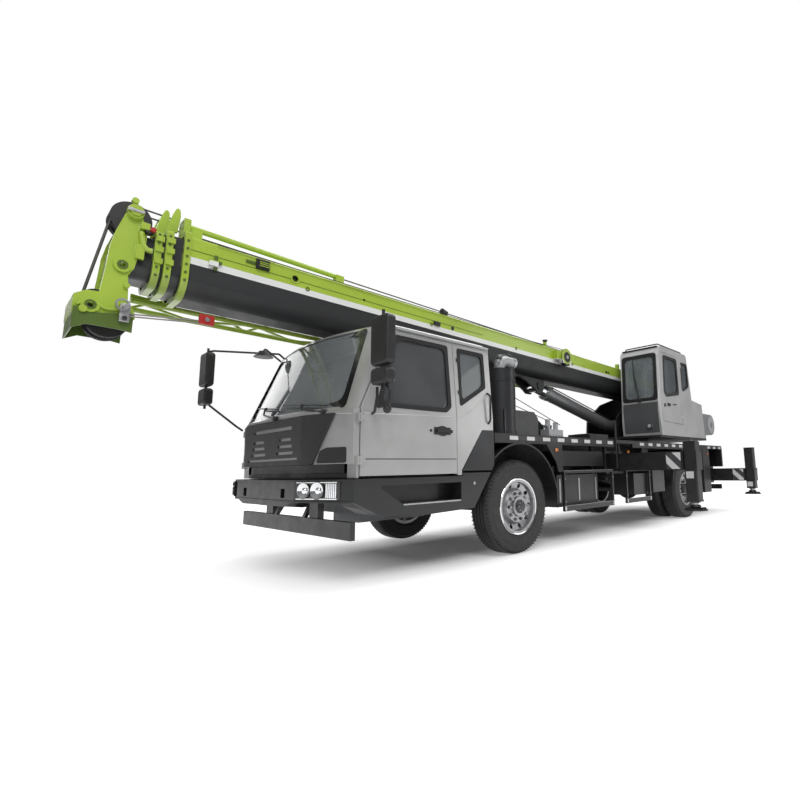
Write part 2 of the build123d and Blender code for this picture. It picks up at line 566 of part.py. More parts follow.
with BuildPart() as cab_glass:
    add(glass_shell.part)
    front_prism(WINDSCREEN, FRONT_X, mode=Mode.INTERSECT)
    with BuildPart(mode=Mode.PRIVATE) as rear_pane:
        add(glass_shell.part)
        front_prism(REAR_WINDOW, (CAB_REAR_X, REAR_WALL_X[1]), mode=Mode.INTERSECT)
    add(rear_pane.part)
    with BuildPart(mode=Mode.PRIVATE) as quarter_panes:
        add(glass_shell.part)
        side_prism(QUARTER_WINDOW, ALL_Y, mode=Mode.INTERSECT)
    add(quarter_panes.part)
save(cab_glass, "cab_glass")

for side_name, side in SIDES.items():
    with BuildPart() as door:
        add(cab_shell.part)
        side_prism(DOOR_OUTLINE, door_span(side), mode=Mode.INTERSECT)
        side_prism(DOOR_WINDOW, door_span(side), mode=Mode.SUBTRACT)
        block((2505, 2705), side_y_span(side, HALF_WIDTH, HALF_WIDTH + 10), (1280, 1350))
        block((2525, 2685), side_y_span(side, HALF_WIDTH + 10, HALF_WIDTH + 26), (1302, 1332))
        for hinge_z in HINGE_ROWS:
            hinge_line(side, hinge_z + 12 + SEAT, hinge_z + 58 - SEAT, HINGE_SLEEVE)
            block((HINGE[0] - 40, HINGE[0]), side_y_span(side, HALF_WIDTH - 5, HINGE[1] + 8),
                  (hinge_z + 12 + SEAT, hinge_z + 58 - SEAT))
            hinge_line(side, hinge_z, hinge_z + 70, HINGE_ROD + SEAT, mode=Mode.SUBTRACT)
    save(door, f"cab_door_{side_name}")
    with BuildPart() as pane:
        add(glass_shell.part)
        side_prism(DOOR_WINDOW, door_span(side), mode=Mode.INTERSECT)
    save(pane, f"cab_door_glass_{side_name}")

with BuildPart() as cab_interior:
    for seat_y in (-560, 560):
        block((2400, 2850), (seat_y - 230, seat_y + 230), (CAB_BOTTOM + 40, 1180))
        block((2370, 2470), (seat_y - 245, seat_y + 245), (1180, 1880))
        block((2470, 2850), (seat_y - 245, seat_y + 245), (1180, 1290))
        block((2380, 2460), (seat_y - 130, seat_y + 130), (1880, 2040))
    with BuildPart(mode=Mode.PRIVATE) as dashboard:
        plan_prism(lower_outline(WALL), (1180, BELT_Z - 20))
        block((3150, FRONT_X[1]), (-DOOR_INNER_Y, DOOR_INNER_Y), (1100, BELT_Z), mode=Mode.INTERSECT)
    add(dashboard.part)
    bar((3180, 560, 1300), (3000, 560, 1480), 28)
    with BuildSketch(Plane(origin=(3000, 560, 1480), z_dir=(-1, 0, 1))) as wheel_ring:
        Circle(230)
        Circle(200, mode=Mode.SUBTRACT)
        Rectangle(410, 34)
        Circle(60)
    extrude(wheel_ring.sketch, amount=26)
save(cab_interior, "cab_interior")

# ---------------------------------------------------------------- bumper, steps, grille and lamps
BUMPER_Z = (650, CAB_BOTTOM - 8)
BUMPER_LIP_Z = 690
BUMPER_NOSE = (3770, 650)
BUMPER_CORNER = (3600, HALF_WIDTH - 75)
LIP = 14


def bumper_outline(grow):
    """Faceted front edge of the bumper, moved outwards by grow."""
    nose = (BUMPER_NOSE[0] + grow, BUMPER_NOSE[1])
    corner = (BUMPER_CORNER[0] + grow * 0.9, BUMPER_CORNER[1] + grow * 0.5)
    side = (3540, HALF_WIDTH + 5)
    return [(3440, side[1]), side, corner, nose, (nose[0], -nose[1]), (corner[0], -corner[1]), (side[0], -side[1]),
            (3440, -side[1])]


STEP_OUTLINE = [
    (3540, BUMPER_Z[1]), (2345, BUMPER_Z[1]), (2345, 940), (2055, 1350), (1885, 1350), (1885, 985), (2190, 560),
    (2950, 535), (3300, 575), (3540, BUMPER_LIP_Z),
]
STEP_RECESS = [(3285, 820), (3285, 795), (3040, 640), (2365, 640), (2365, 820)]

with BuildPart() as lamps:
    for side in SIDES.values():
        plan_prism([(3742, side * 720), (3776, side * 720), (3624, side * (HALF_WIDTH - 95)),
                    (3590, side * (HALF_WIDTH - 95))], (715, 868))
        block((TAIL_X - 14, TAIL_X), side_y_span(side, HALF_WIDTH - 285, HALF_WIDTH - 35), (1090, 1180))
        block((740, 790), side_y_span(side, HALF_WIDTH, HALF_WIDTH + 8), (1140, 1180))
save(lamps, "lamps")

with BuildPart() as front_bumper:
    plan_prism(bumper_outline(0), BUMPER_Z)
    plan_prism(bumper_outline(LIP), (BUMPER_Z[1] - 14, BUMPER_Z[1]))
    plan_prism(bumper_outline(LIP), (BUMPER_LIP_Z, BUMPER_LIP_Z + 13))
    plan_prism([(3420, 1130), (3500, 1130), (3680, 600), (3680, -600), (3500, -1130), (3420, -1130)],
               (BUMPER_Z[0] - 10, BUMPER_Z[1] - 20), mode=Mode.SUBTRACT)
    # below the lower lip there is only a chin in the middle
    front_prism([(-HALF_WIDTH - 60, 400), (HALF_WIDTH + 60, 400), (HALF_WIDTH + 60, BUMPER_LIP_Z),
                 (600, BUMPER_LIP_Z), (480, BUMPER_Z[0]), (-480, BUMPER_Z[0]), (-600, BUMPER_LIP_Z),
                 (-HALF_WIDTH - 60, BUMPER_LIP_Z)], FRONT_X, mode=Mode.SUBTRACT)
    block((3440, 3500), (-1140, 1140), (BUMPER_LIP_Z, RAIL_BOTTOM))
    for side in SIDES.values():
        block((3440, 3500), side_y_span(side, RAIL_OUTER_Y, 1140), (RAIL_BOTTOM, 820))
        block((3600, 3900), side_y_span(side, 395, 475), (725, 805), mode=Mode.SUBTRACT)
        block((3440, 3500), side_y_span(side, 400, 560), (500, BUMPER_LIP_Z + 10))
        side_prism([(3440, BUMPER_LIP_Z), (3515, 528), (3480, 528), (3380, BUMPER_LIP_Z)], side_y_span(side, 280, 330))
        block((3380, 3500), side_y_span(side, 280, 330), (BUMPER_LIP_Z, RAIL_BOTTOM))
        side_prism(STEP_OUTLINE, side_y_span(side, HALF_WIDTH - 25, HALF_WIDTH + 5))
        with BuildPart(mode=Mode.PRIVATE) as step_box:
            side_prism(STEP_OUTLINE, side_y_span(side, HALF_WIDTH - 335, HALF_WIDTH - 25))
            block((1800, 3440), side_y_span(side, HALF_WIDTH - 400, HALF_WIDTH), (400, BUMPER_Z[1]),
                  mode=Mode.INTERSECT)
        add(step_box.part)
        side_prism(STEP_RECESS, side_y_span(side, HALF_WIDTH - 175, HALF_WIDTH + 50), mode=Mode.SUBTRACT)
        side_prism([(3060, 618), (2365, 618), (2365, 654), (3060, 654)], side_y_span(side, HALF_WIDTH - 175, HALF_WIDTH + 5))
        block((3380, 3440), side_y_span(side, RAIL_OUTER_Y, HALF_WIDTH - 335), (RAIL_BOTTOM, 820))
    block((3470, 3515), (-1150, 1150), (380, 528))
    plan_prism(lower_outline(70), (CAB_BOTTOM + 40, FRONT_LIP_Z))
    plan_prism(lower_outline(110), (CAB_BOTTOM, FRONT_LIP_Z + 10), mode=Mode.SUBTRACT)
    block((1700, 3504), ALL_Y, (CAB_BOTTOM + 20, FRONT_LIP_Z + 10), mode=Mode.SUBTRACT)
    for side in SIDES.values():
        side_prism([(2345, 930), (2345, 940), (2055, 1350), (1885, 1350), (1885, 985), (1923, 930)],
                   side_y_span(side, HALF_WIDTH - 25, HALF_WIDTH + 5))
    block((3400, 3482), (-RAIL_OUTER_Y - 5, RAIL_OUTER_Y + 5), (RAIL_BOTTOM, CAB_BOTTOM), mode=Mode.SUBTRACT)
    add(lamps.part, mode=Mode.SUBTRACT)
save(front_bumper, "front_bumper")

with BuildPart() as grille:
    plan_prism([(3400, 1300), (3545, HALF_WIDTH - 30), (3714, 625), (3714, -625), (3545, 30 - HALF_WIDTH), (3400, -1300)],
               (FRONT_LIP_Z, BELT_Z - 25))
    front_prism([(-1000, BELT_Z - 25), (1000, BELT_Z - 25), (850, 1180), (760, FRONT_LIP_Z), (-760, FRONT_LIP_Z),
                 (-850, 1180)], (3400, 3800), mode=Mode.INTERSECT)
    for row in range(3):
        low = 1110 + 62 * row
        for side in SIDES.values():
            block((3700, 3800), side_y_span(side, 130 + 25 * row, 470 - 25 * row), (low, low + 26), mode=Mode.SUBTRACT)
    block((3700, 3800), (-560, 560), (1056, 1076), mode=Mode.SUBTRACT)
    block((3700, 3800), (-430, 430), (1335, 1365), mode=Mode.SUBTRACT)
    block((FRONT_LIP_Z, 3300), ALL_Y, (FRONT_LIP_Z, 1500), mode=Mode.SUBTRACT)
    plan_prism(lower_outline(0), (CAB_BOTTOM, BELT_Z), mode=Mode.SUBTRACT)
save(grille, "grille")

# ---------------------------------------------------------------- mirrors
# side, middle x, distance from the middle y, x width, heights of the main glass
NEAR_MIRROR = (3430, HALF_WIDTH + 215, 250)
FAR_MIRROR = (3880, HALF_WIDTH + 265, 250)


def mirror_head(centre_x, centre_y, width, low, high, depth=95):
    """Rounded mirror housing."""
    with BuildPart(mode=Mode.PRIVATE) as head:
        block((centre_x - depth / 2, centre_x + depth / 2), (centre_y - width / 2, centre_y + width / 2), (low, high))
        fillet(head.edges().filter_by(Axis.X), 45)
        fillet(head.edges(), 24)
    add(head.part)


with BuildPart() as mirror_left:
    middle_x, middle_y, width = NEAR_MIRROR
    mirror_head(middle_x, middle_y, width, 1810, 2235)
    mirror_head(middle_x, middle_y, width - 10, 1650, 1790)
    bent_tube([(3300, HALF_WIDTH - 68, 1960), (3330, HALF_WIDTH + 60, 1960), (3350, middle_y - 60, 1880)], 30, 13)
    bar((3350, middle_y - 60, 1900), (middle_x, middle_y - 60, 1860), 13)
    bar((middle_x, middle_y, 1600), (middle_x, middle_y, 2290), 13)
    bent_tube([(middle_x - 10, middle_y + 40, 1640), (middle_x - 10, middle_y + 95, 1600), (middle_x - 10, middle_y + 95, 1470),
               (middle_x - 10, middle_y - 90, 1470), (middle_x - 10, middle_y - 90, 1640)], 30, 12)
    bent_tube([(middle_x - 10, middle_y - 90, 1560), (3400, HALF_WIDTH + 60, 1440), (3380, HALF_WIDTH - 5, 1430)], 20, 12)
    with Locations((middle_x - 10, middle_y + 60, 1440)):
        Sphere(34)
    add(cab_shell.part, mode=Mode.SUBTRACT)
save(mirror_left, "mirror_left")

with BuildPart() as mirror_right:
    middle_x, middle_y, width = FAR_MIRROR
    mirror_head(middle_x, -middle_y, width, 1960, 2360)
    mirror_head(middle_x, -middle_y, width - 10, 1740, 1935)
    bar((middle_x, -middle_y, 1700), (middle_x, -middle_y, 2420), 13)
    bent_tube([(3060, 130 - HALF_WIDTH, 2270), (3200, 80 - HALF_WIDTH, 2400), (middle_x - 60, -middle_y, 2400),
               (middle_x, -middle_y, 2380)], 25, 12)
    bent_tube([(3570, 60 - HALF_WIDTH, 1440), (3590, -HALF_WIDTH - 90, 1500), (middle_x, -middle_y, 1780)], 40, 12)
    # kerb mirror over the windscreen
    bent_tube([(3200, 190 - HALF_WIDTH, 2270), (3400, 160 - HALF_WIDTH, 2420), (3430, 200 - HALF_WIDTH, 2380)], 25, 11)
    with Locations((3430, 200 - HALF_WIDTH, 2340)):
        Cone(110, 50, 70)
    add(cab_shell.part, mode=Mode.SUBTRACT)
save(mirror_right, "mirror_right")

# ---------------------------------------------------------------- equipment on the carrier
STACK = (1550, HALF_WIDTH - 190)
STACK_TOP = 2080
STACK_RADIUS = 168
with BuildPart() as air_intake:
    with Locations((*STACK, DECK_TOP)):
        Cylinder(STACK_RADIUS, STACK_TOP - DECK_TOP, align=(Align.CENTER, Align.CENTER, Align.MIN))
    with Locations((*STACK, STACK_TOP - 130)):
        Cylinder(STACK_RADIUS + 7, 26)
        Cylinder(STACK_RADIUS - 7, 40, mode=Mode.SUBTRACT)
    with Locations((*STACK, STACK_TOP)):
        Cylinder(STACK_RADIUS + 2, 14)
    bent_tube([(STACK[0] + 40, STACK[1], STACK_TOP), (STACK[0] + 40, STACK[1], STACK_TOP + 150),
               (STACK[0] - 260, STACK[1] - 130, STACK_TOP + 215)], 90, 46)
    bent_tube([(STACK[0] - 230, STACK[1] - 117, STACK_TOP + 209), (STACK[0] - 360, STACK[1] - 173, STACK_TOP + 237),
               (STACK[0] - 250, STACK[1] - 330, 1500)], 60, 56)
    side_prism([(1660, DECK_TOP), (1060, DECK_TOP), (1060, 1540), (1130, 1610), (1660, 1610)],
               (HALF_WIDTH - 430, HALF_WIDTH - 40))
    with Locations((*STACK, DECK_TOP + 20)):
        Cylinder(STACK_RADIUS + 10, 40)
save(air_intake, "air_intake")

GUARD_Y = (HALF_WIDTH - 45, HALF_WIDTH - 5)
# side, rear x, front x, underside of the lower rail
SIDE_GUARDS = [
    ("left", -600, 610, 400), ("left", -1760, -975, 400), ("right", -600, 610, 400), ("right", -1760, -1215, 400),
]
with BuildPart() as side_equipment:
    for side_name, rear_x, front_x, low_z in SIDE_GUARDS:
        side = SIDES[side_name]
        span = side_y_span(side, *GUARD_Y)
        block((rear_x, front_x), span, (low_z, low_z + 62))
        block((rear_x, front_x), span, (868, 900))
        for post_x in (rear_x, front_x - 34):
            block((post_x, post_x + 34), span, (low_z, 900))
            block((post_x, post_x + 34), side_y_span(side, HALF_WIDTH - 150, HALF_WIDTH - 110), (868, RAIL_TOP))
            block((post_x, post_x + 34), side_y_span(side, HALF_WIDTH - 150, HALF_WIDTH - 5), (868, 900))
    for side in SIDES.values():
        inner = side_y_span(side, RAIL_OUTER_Y, HALF_WIDTH - 150)
        block((-420, 560), side_y_span(side, HALF_WIDTH - 480, HALF_WIDTH - 160), (440, 850))
        block((-420, 560), side_y_span(side, RAIL_OUTER_Y, HALF_WIDTH - 160), (820, 850))
        block((-520, 560), side_y_span(side, HALF_WIDTH - 400, HALF_WIDTH - 115), (960, 1160))
        for hanger_x in (-480, 480):
            block((hanger_x, hanger_x + 40), side_y_span(side, HALF_WIDTH - 300, HALF_WIDTH - 260), (850, RAIL_TOP))
        block((-1780, -1300), side_y_span(side, HALF_WIDTH - 470, HALF_WIDTH - 60), (500, 830))
        block((-1700, -1400), inner, (800, 830))
        block((-2260, -1830), side_y_span(side, HALF_WIDTH - 300, HALF_WIDTH), (520, 880))
        block((-2180, -1960), side_y_span(side, HALF_WIDTH - 260, HALF_WIDTH - 220), (880, RAIL_TOP))
        bar((-690, side * (HALF_WIDTH + 12), 1230), (-690, side * (HALF_WIDTH + 12), 1560), 12)
        bar((-690, side * (HALF_WIDTH + 12), 1310), (-690, side * (HALF_WIDTH - 5), 1310), 12)
    # equipment standing on the deck
    with BuildPart(mode=Mode.PRIVATE) as drum:
        bar((780, 250, DECK_TOP), (780, 900, DECK_TOP), 250)
        block((500, 1060), (200, 950), (DECK_TOP, DECK_TOP + 300), mode=Mode.INTERSECT)
    add(drum.part)
    block((330, 640), (700, 1040), (DECK_TOP, 1440))
    for valve_x, valve_y, valve_top in ((390, 960, 1545), (470, 880, 1500), (560, 960, 1575), (600, 790, 1500)):
        with Locations((valve_x, valve_y, 1440)):
            Cylinder(34, valve_top - 1440, align=(Align.CENTER, Align.CENTER, Align.MIN))
    bar((380, 760, 1500), (620, 1000, 1500), 20)
    block((-900, -380), (620, 1000), (DECK_TOP, 1425))
    block((1000, 1700), (100 - HALF_WIDTH, 560 - HALF_WIDTH), (DECK_TOP, 1640))
    block((0, 700), (100 - HALF_WIDTH, 500 - HALF_WIDTH), (DECK_TOP, 1520))
    add(deck.part, mode=Mode.SUBTRACT)
save(side_equipment, "side_equipment")

# ---------------------------------------------------------------- turntable
PLATE_Y = (300, 335)
BASE_Z = (RING_TOP + 20, RING_TOP + 60)
CYLINDER_FOOT = (-3000, 1640)
CYLINDER_HEAD_ALONG = 3970
CYLINDER_HEAD_DROP = 378
FOOT_PIN_RADIUS = 60
PIVOT_PIN_RADIUS = 70
COUNTERWEIGHT_ROUND_X = -4890    # centre of the counterweight's rounded rear ends

with BuildPart() as turntable:
    with Locations((RING_X, 0, RING_TOP)):
        Cylinder(600, 30, align=(Align.CENTER, Align.CENTER, Align.MIN))
    plan_prism([(-4450, -1150), (-2500, -1150), (-2200, -700), (-2200, 700), (-2330, 1190), (-4450, 1190)], BASE_Z)
    for side in SIDES.values():
        side_prism([(-4560, BASE_Z[1]), (-2350, BASE_Z[1]), (-2400, 1850), (-2900, 2180), (-3700, 2420),
                    (-4180, 2690), (-4330, 2740), (-4480, 2690), (-4560, 2400)], side_y_span(side, *PLATE_Y))
        block((CYLINDER_FOOT[0] - 130, CYLINDER_FOOT[0] + 130), side_y_span(side, 120, PLATE_Y[0]),
              (BASE_Z[1], CYLINDER_FOOT[1] + 130))
        bar((PIVOT_X, side * PLATE_Y[1], PIVOT_Z), (PIVOT_X, side * (PLATE_Y[1] + 15), PIVOT_Z), 120)
    bar((CYLINDER_FOOT[0], -PLATE_Y[0], CYLINDER_FOOT[1]), (CYLINDER_FOOT[0], PLATE_Y[0], CYLINDER_FOOT[1]),
        FOOT_PIN_RADIUS)
    bar((PIVOT_X, -PLATE_Y[1] - 30, PIVOT_Z), (PIVOT_X, PLATE_Y[1] + 30, PIVOT_Z), PIVOT_PIN_RADIUS)
save(turntable, "turntable")

with BuildPart() as counterweight:
    block((-4700, -4560), (-900, 900), (BASE_Z[0], 2150))
    for side in SIDES.values():
        block((COUNTERWEIGHT_ROUND_X, -4560), side_y_span(side, 650, 1150), (1560, 1990))
        bar((COUNTERWEIGHT_ROUND_X, side * 650, 1775), (COUNTERWEIGHT_ROUND_X, side * 1150, 1775), 215)
        block((-4560, -4450), side_y_span(side, PLATE_Y[1], 1150), (BASE_Z[1], 1990))
save(counterweight, "counterweight")

with BuildPart() as winches:
    for drum_x, drum_z in ((-3750, 1760), (-4230, 1800)):
        bar((drum_x, -PLATE_Y[0], drum_z), (drum_x, PLATE_Y[0], drum_z), 150)
        for flange_y in (-240, 215):
            bar((drum_x, flange_y, drum_z), (drum_x, flange_y + 25, drum_z), 220)
save(winches, "winches")

# ---------------------------------------------------------------- operator's cab
OP_X = (-3820, -2370)
OP_Y = (HALF_WIDTH - 795, HALF_WIDTH - 45)
OP_Z = (BASE_Z[1], 3080)
OP_WALL = 45
OP_REAR_X = -4400
OP_SIDE = [
    (OP_REAR_X, OP_Z[0]), (OP_X[1] - 40, OP_Z[0]), (OP_X[1], 1900), (OP_X[1] - 40, OP_Z[1] - 160),
    (OP_X[1] - 110, OP_Z[1] - 30), (OP_X[1] - 200, OP_Z[1]), (OP_X[0] + 170, OP_Z[1]), (OP_X[0] + 130, OP_Z[1] - 40),
    (OP_X[0], 2200), (OP_REAR_X + 70, 2150),
]
OP_INSIDE = [
    (OP_X[0] + 80, OP_Z[0] + 50), (OP_X[1] - 90, OP_Z[0] + 50), (OP_X[1] - 50, 1900), (OP_X[1] - 90, OP_Z[1] - 170),
    (OP_X[1] - 210, OP_Z[1] - 60), (OP_X[0] + 190, OP_Z[1] - 60), (OP_X[0] + 80, 2200),
]
OP_DOOR = [(-3320, 1700), (-2500, 1720), (-2470, 1900), (-2500, 2965), (-3320, 2965)]
OP_DOOR_WINDOW = [(-3200, 2270), (-2660, 2190), (-2600, 2260), (-2640, 2900), (-3180, 2900)]
OP_QUARTER = [(-3700, 2450), (-3430, 2345), (-3388, 2385), (-3388, 2890), (-3680, 2890)]
OP_FRONT = [(OP_Y[0] + 80, 2120), (OP_Y[1] - 70, 2120), (OP_Y[1] - 70, 2910), (OP_Y[0] + 80, 2910)]
OP_BACK = [(OP_Y[0] + 80, 2280), (OP_Y[1] - 80, 2280), (OP_Y[1] - 80, 2880), (OP_Y[0] + 80, 2880)]
OP_HINGE = (OP_DOOR[0][0] - 3, OP_Y[1] + 8)
OP_HINGE_ROWS = (1800, 2780)


def op_side_window(points, mode):
    """Window outline taken through the cab's two side walls."""
    side_prism(points, (OP_Y[0] - 5, OP_Y[1] + 5), mode=mode)


def op_hinge(low, high, radius, mode=Mode.ADD):
    """Upright cylinder on the operator's door hinge line."""
    bar((*OP_HINGE, low), (*OP_HINGE, high), radius, mode=mode)


with BuildPart() as operator_cab:
    side_prism(OP_SIDE, OP_Y)
    fillet([edge for edge in operator_cab.edges().filter_by(Axis.Z, reverse=True)
            if abs(edge.center().X - OP_X[1]) < 60 and abs(edge.length) > 400 and edge.center().Z > 1900
            and abs(edge.center().Y - (OP_Y[0] + OP_Y[1]) / 2) > 300], 40)
    with BuildPart(mode=Mode.PRIVATE) as operator_room:
        side_prism(OP_INSIDE, (OP_Y[0] + OP_WALL, OP_Y[1] - OP_WALL))
    add(operator_room.part, mode=Mode.SUBTRACT)
    side_prism(OP_DOOR, (OP_Y[1] - OP_WALL - 5, OP_Y[1] + 5), mode=Mode.SUBTRACT, grow=DOOR_GAP)
    op_side_window(OP_QUARTER, Mode.SUBTRACT)
    side_prism(OP_DOOR_WINDOW, (OP_Y[0] - 5, OP_Y[0] + OP_WALL + 5), mode=Mode.SUBTRACT)
    front_prism(OP_FRONT, (-2600, -2300), mode=Mode.SUBTRACT)
    front_prism(OP_BACK, (OP_X[0] - 20, OP_X[0] + 200), mode=Mode.SUBTRACT)
    for hinge_z in OP_HINGE_ROWS:
        op_hinge(hinge_z + 11, hinge_z + 59, HINGE_SLEEVE + 2, mode=Mode.SUBTRACT)
        block((OP_HINGE[0] - 34, OP_HINGE[0] - HINGE_SLEEVE - 3), (OP_Y[1] - 5, OP_HINGE[1] + 10),
              (hinge_z, hinge_z + 70))
        for low in (hinge_z, hinge_z + 58):
            block((OP_HINGE[0] - 34, OP_HINGE[0] + 8), (OP_Y[1] + 1, OP_HINGE[1] + 10), (low, low + 12))
        op_hinge(hinge_z, hinge_z + 70, HINGE_ROD)
    bent_tube([(OP_X[0] + 240, OP_Y[1] - 60, OP_Z[1]), (OP_X[0] + 240, OP_Y[1] - 60, OP_Z[1] + 45),
               (OP_X[1] - 190, OP_Y[1] - 60, OP_Z[1] + 45), (OP_X[1] - 190, OP_Y[0] + 60, OP_Z[1] + 45),
               (OP_X[1] - 190, OP_Y[0] + 60, OP_Z[1] - 5)], 25, 11)
    bar((OP_X[1] - 50, OP_Y[1] - 210, 1640), (OP_X[1] + 12, OP_Y[1] - 210, 1640), 44)
save(operator_cab, "operator_cab")

with BuildPart() as operator_door:
    side_prism(OP_DOOR, (OP_Y[1] - OP_WALL, OP_Y[1]))
    side_prism(OP_DOOR_WINDOW, (OP_Y[1] - OP_WALL - 5, OP_Y[1] + 5), mode=Mode.SUBTRACT)
    block((-2790, -2690), (OP_Y[1], OP_Y[1] + 20), (2000, 2050))
    for hinge_z in OP_HINGE_ROWS:
        op_hinge(hinge_z + 12 + SEAT, hinge_z + 58 - SEAT, HINGE_SLEEVE)
        block((OP_HINGE[0], OP_HINGE[0] + 40), (OP_Y[1] - 5, OP_HINGE[1] + 8),
              (hinge_z + 12 + SEAT, hinge_z + 58 - SEAT))
        op_hinge(hinge_z, hinge_z + 70, HINGE_ROD + SEAT, mode=Mode.SUBTRACT)
        for low in (hinge_z - 1, hinge_z + 58 - SEAT):
            op_hinge(low, low + 13 + SEAT, HINGE_SLEEVE - 2, mode=Mode.SUBTRACT)
save(operator_door, "operator_door")

with BuildPart() as operator_door_glass:
    side_prism(OP_DOOR_WINDOW, (OP_Y[1] - 26, OP_Y[1] - 18))
save(operator_door_glass, "operator_door_glass")

with BuildPart() as operator_glass:
    side_prism(OP_QUARTER, (OP_Y[1] - 26, OP_Y[1] - 18))
    side_prism(OP_QUARTER, (OP_Y[0] + 18, OP_Y[0] + 26))
    side_prism(OP_DOOR_WINDOW, (OP_Y[0] + 18, OP_Y[0] + 26))
    for outline, pane in ((OP_FRONT, [(OP_X[1] - 18, 1900), (OP_X[1] - 10, 1900), (OP_X[1] - 50, OP_Z[1] - 160),
                                      (OP_X[1] - 58, OP_Z[1] - 160)]),
                          (OP_BACK, [(OP_X[0] + 20, 2200), (OP_X[0] + 28, 2200), (OP_X[0] + 158, OP_Z[1] - 40),
                                     (OP_X[0] + 150, OP_Z[1] - 40)])):
        with BuildPart(mode=Mode.PRIVATE) as sheet:
            side_prism(pane, OP_Y)
            front_prism(outline, (-3900, -2300), mode=Mode.INTERSECT)
        add(sheet.part)
save(operator_glass, "operator_glass")

with BuildPart() as operator_seat:
    block((-3350, -2900), (OP_Y[0] + 160, OP_Y[1] - 150), (OP_Z[0] + 50, 1850))
    add(soft_block((-3350, -2900), (OP_Y[0] + 150, OP_Y[1] - 140), (1850, 1970), 30, Axis.X))
    add(soft_block((-3400, -3290), (OP_Y[0] + 160, OP_Y[1] - 150), (1970, 2600), 40, Axis.X))
    block((-2700, -2560), (OP_Y[0] + 180, OP_Y[1] - 170), (OP_Z[0] + 50, 2060))
save(operator_seat, "operator_seat")

# ---------------------------------------------------------------- boom
ALONG = (cos(radians(BOOM_ANGLE)), 0, sin(radians(BOOM_ANGLE)))
UP = (-ALONG[2], 0, ALONG[0])


def boom_point(along, y, up):
    """Point given by distances along the boom from its pivot, sideways and square to the boom."""
    return (PIVOT_X + along * ALONG[0] + up * UP[0], y, PIVOT_Z + along * ALONG[2] + up * UP[2])


def boom_plane(along):
    """Cross-section plane: local x is sideways, local y square to the boom."""
    return Plane(origin=boom_point(along, 0, 0), x_dir=(0, 1, 0), z_dir=ALONG)


def boom_side_prism(points, y_span, mode=Mode.ADD):
    """Outline along the boom and square to it, extruded sideways."""
    plane = Plane(origin=(PIVOT_X, y_span[1], PIVOT_Z), x_dir=ALONG, z_dir=(0, -1, 0))
    with BuildSketch(plane) as outline:
        Polygon(*points, align=None)
    extrude(outline.sketch, amount=y_span[1] - y_span[0], mode=mode)


def boom_block(along_span, y_span, up_span, mode=Mode.ADD):
    """Box lying square to the boom."""
    boom_side_prism([(along_span[0], up_span[0]), (along_span[1], up_span[0]), (along_span[1], up_span[1]),
                     (along_span[0], up_span[1])], y_span, mode=mode)


def boom_bar(along, y_span, up, radius, mode=Mode.ADD):
    """Round bar across the boom."""
    bar(boom_point(along, y_span[0], up), boom_point(along, y_span[1], up), radius, mode=mode)


def boom_tube(width, low, high, corner, along_span, mode=Mode.ADD):
    """Boom section outline with large lower corners, extruded along the boom."""
    with BuildSketch(boom_plane(along_span[0])) as section:
        with Locations((0, (low + high) / 2)):
            Rectangle(width, high - low)
        fillet(section.vertices().group_by(Axis.Y)[0], corner)
        fillet(section.vertices().group_by(Axis.Y)[-1], 25)
    extrude(section.sketch, amount=along_span[1] - along_span[0], mode=mode)


NOSE_UP = -575
NOSE_ALONG = (HALF_LENGTH - PIVOT_X + NOSE_UP * ALONG[2]) / ALONG[0]
BOOM_WALL = 12
COLLAR_LENGTH = 50
COLLAR_GROWTH = 26
PAD_LENGTH = 160
# width, underside, top, lower corner radius, tail, front end back from the nose
SECTIONS = {
    "boom_base": (540, -275, 250, 165, -220, 639),
    "boom_section_2": (484, -247, 222, 146, 120, 518),
    "boom_section_3": (428, -219, 194, 127, 240, 448),
    "boom_section_4": (372, -191, 166, 108, 360, 325),
}


def boom_section(name):
    """Tube of one boom section, with a collar in front unless it carries the head."""
    width, low, high, corner, tail, back = SECTIONS[name]
    front = NOSE_ALONG - back
    boom_tube(width, low, high, corner, (tail, front))
    if name != "boom_section_4":
        boom_tube(width + 2 * COLLAR_GROWTH, low - COLLAR_GROWTH, high + COLLAR_GROWTH, corner + COLLAR_GROWTH,
                  (front - COLLAR_LENGTH, front))
    boom_tube(width - 2 * BOOM_WALL, low + BOOM_WALL, high - BOOM_WALL, corner - BOOM_WALL, (tail - 5, front + 5),
              mode=Mode.SUBTRACT)


def wear_pads(outer):
    """Slide pads in the mouth of one section, just clear of the section inside it."""
    names = list(SECTIONS)
    inner = SECTIONS[names[names.index(outer) + 1]]
    width, low, high, corner, tail, back = SECTIONS[outer]
    front = NOSE_ALONG - back
    for side in SIDES.values():
        boom_block((front - PAD_LENGTH, front), side_y_span(side, inner[0] / 2 + SEAT, width / 2 - BOOM_WALL),
                   (-30, 90))
        boom_block((front - PAD_LENGTH, front), side_y_span(side, 20, 120), (inner[2] + SEAT, high - BOOM_WALL))
    boom_block((front - PAD_LENGTH, front), (-90, 90), (low + BOOM_WALL, inner[1] - SEAT))


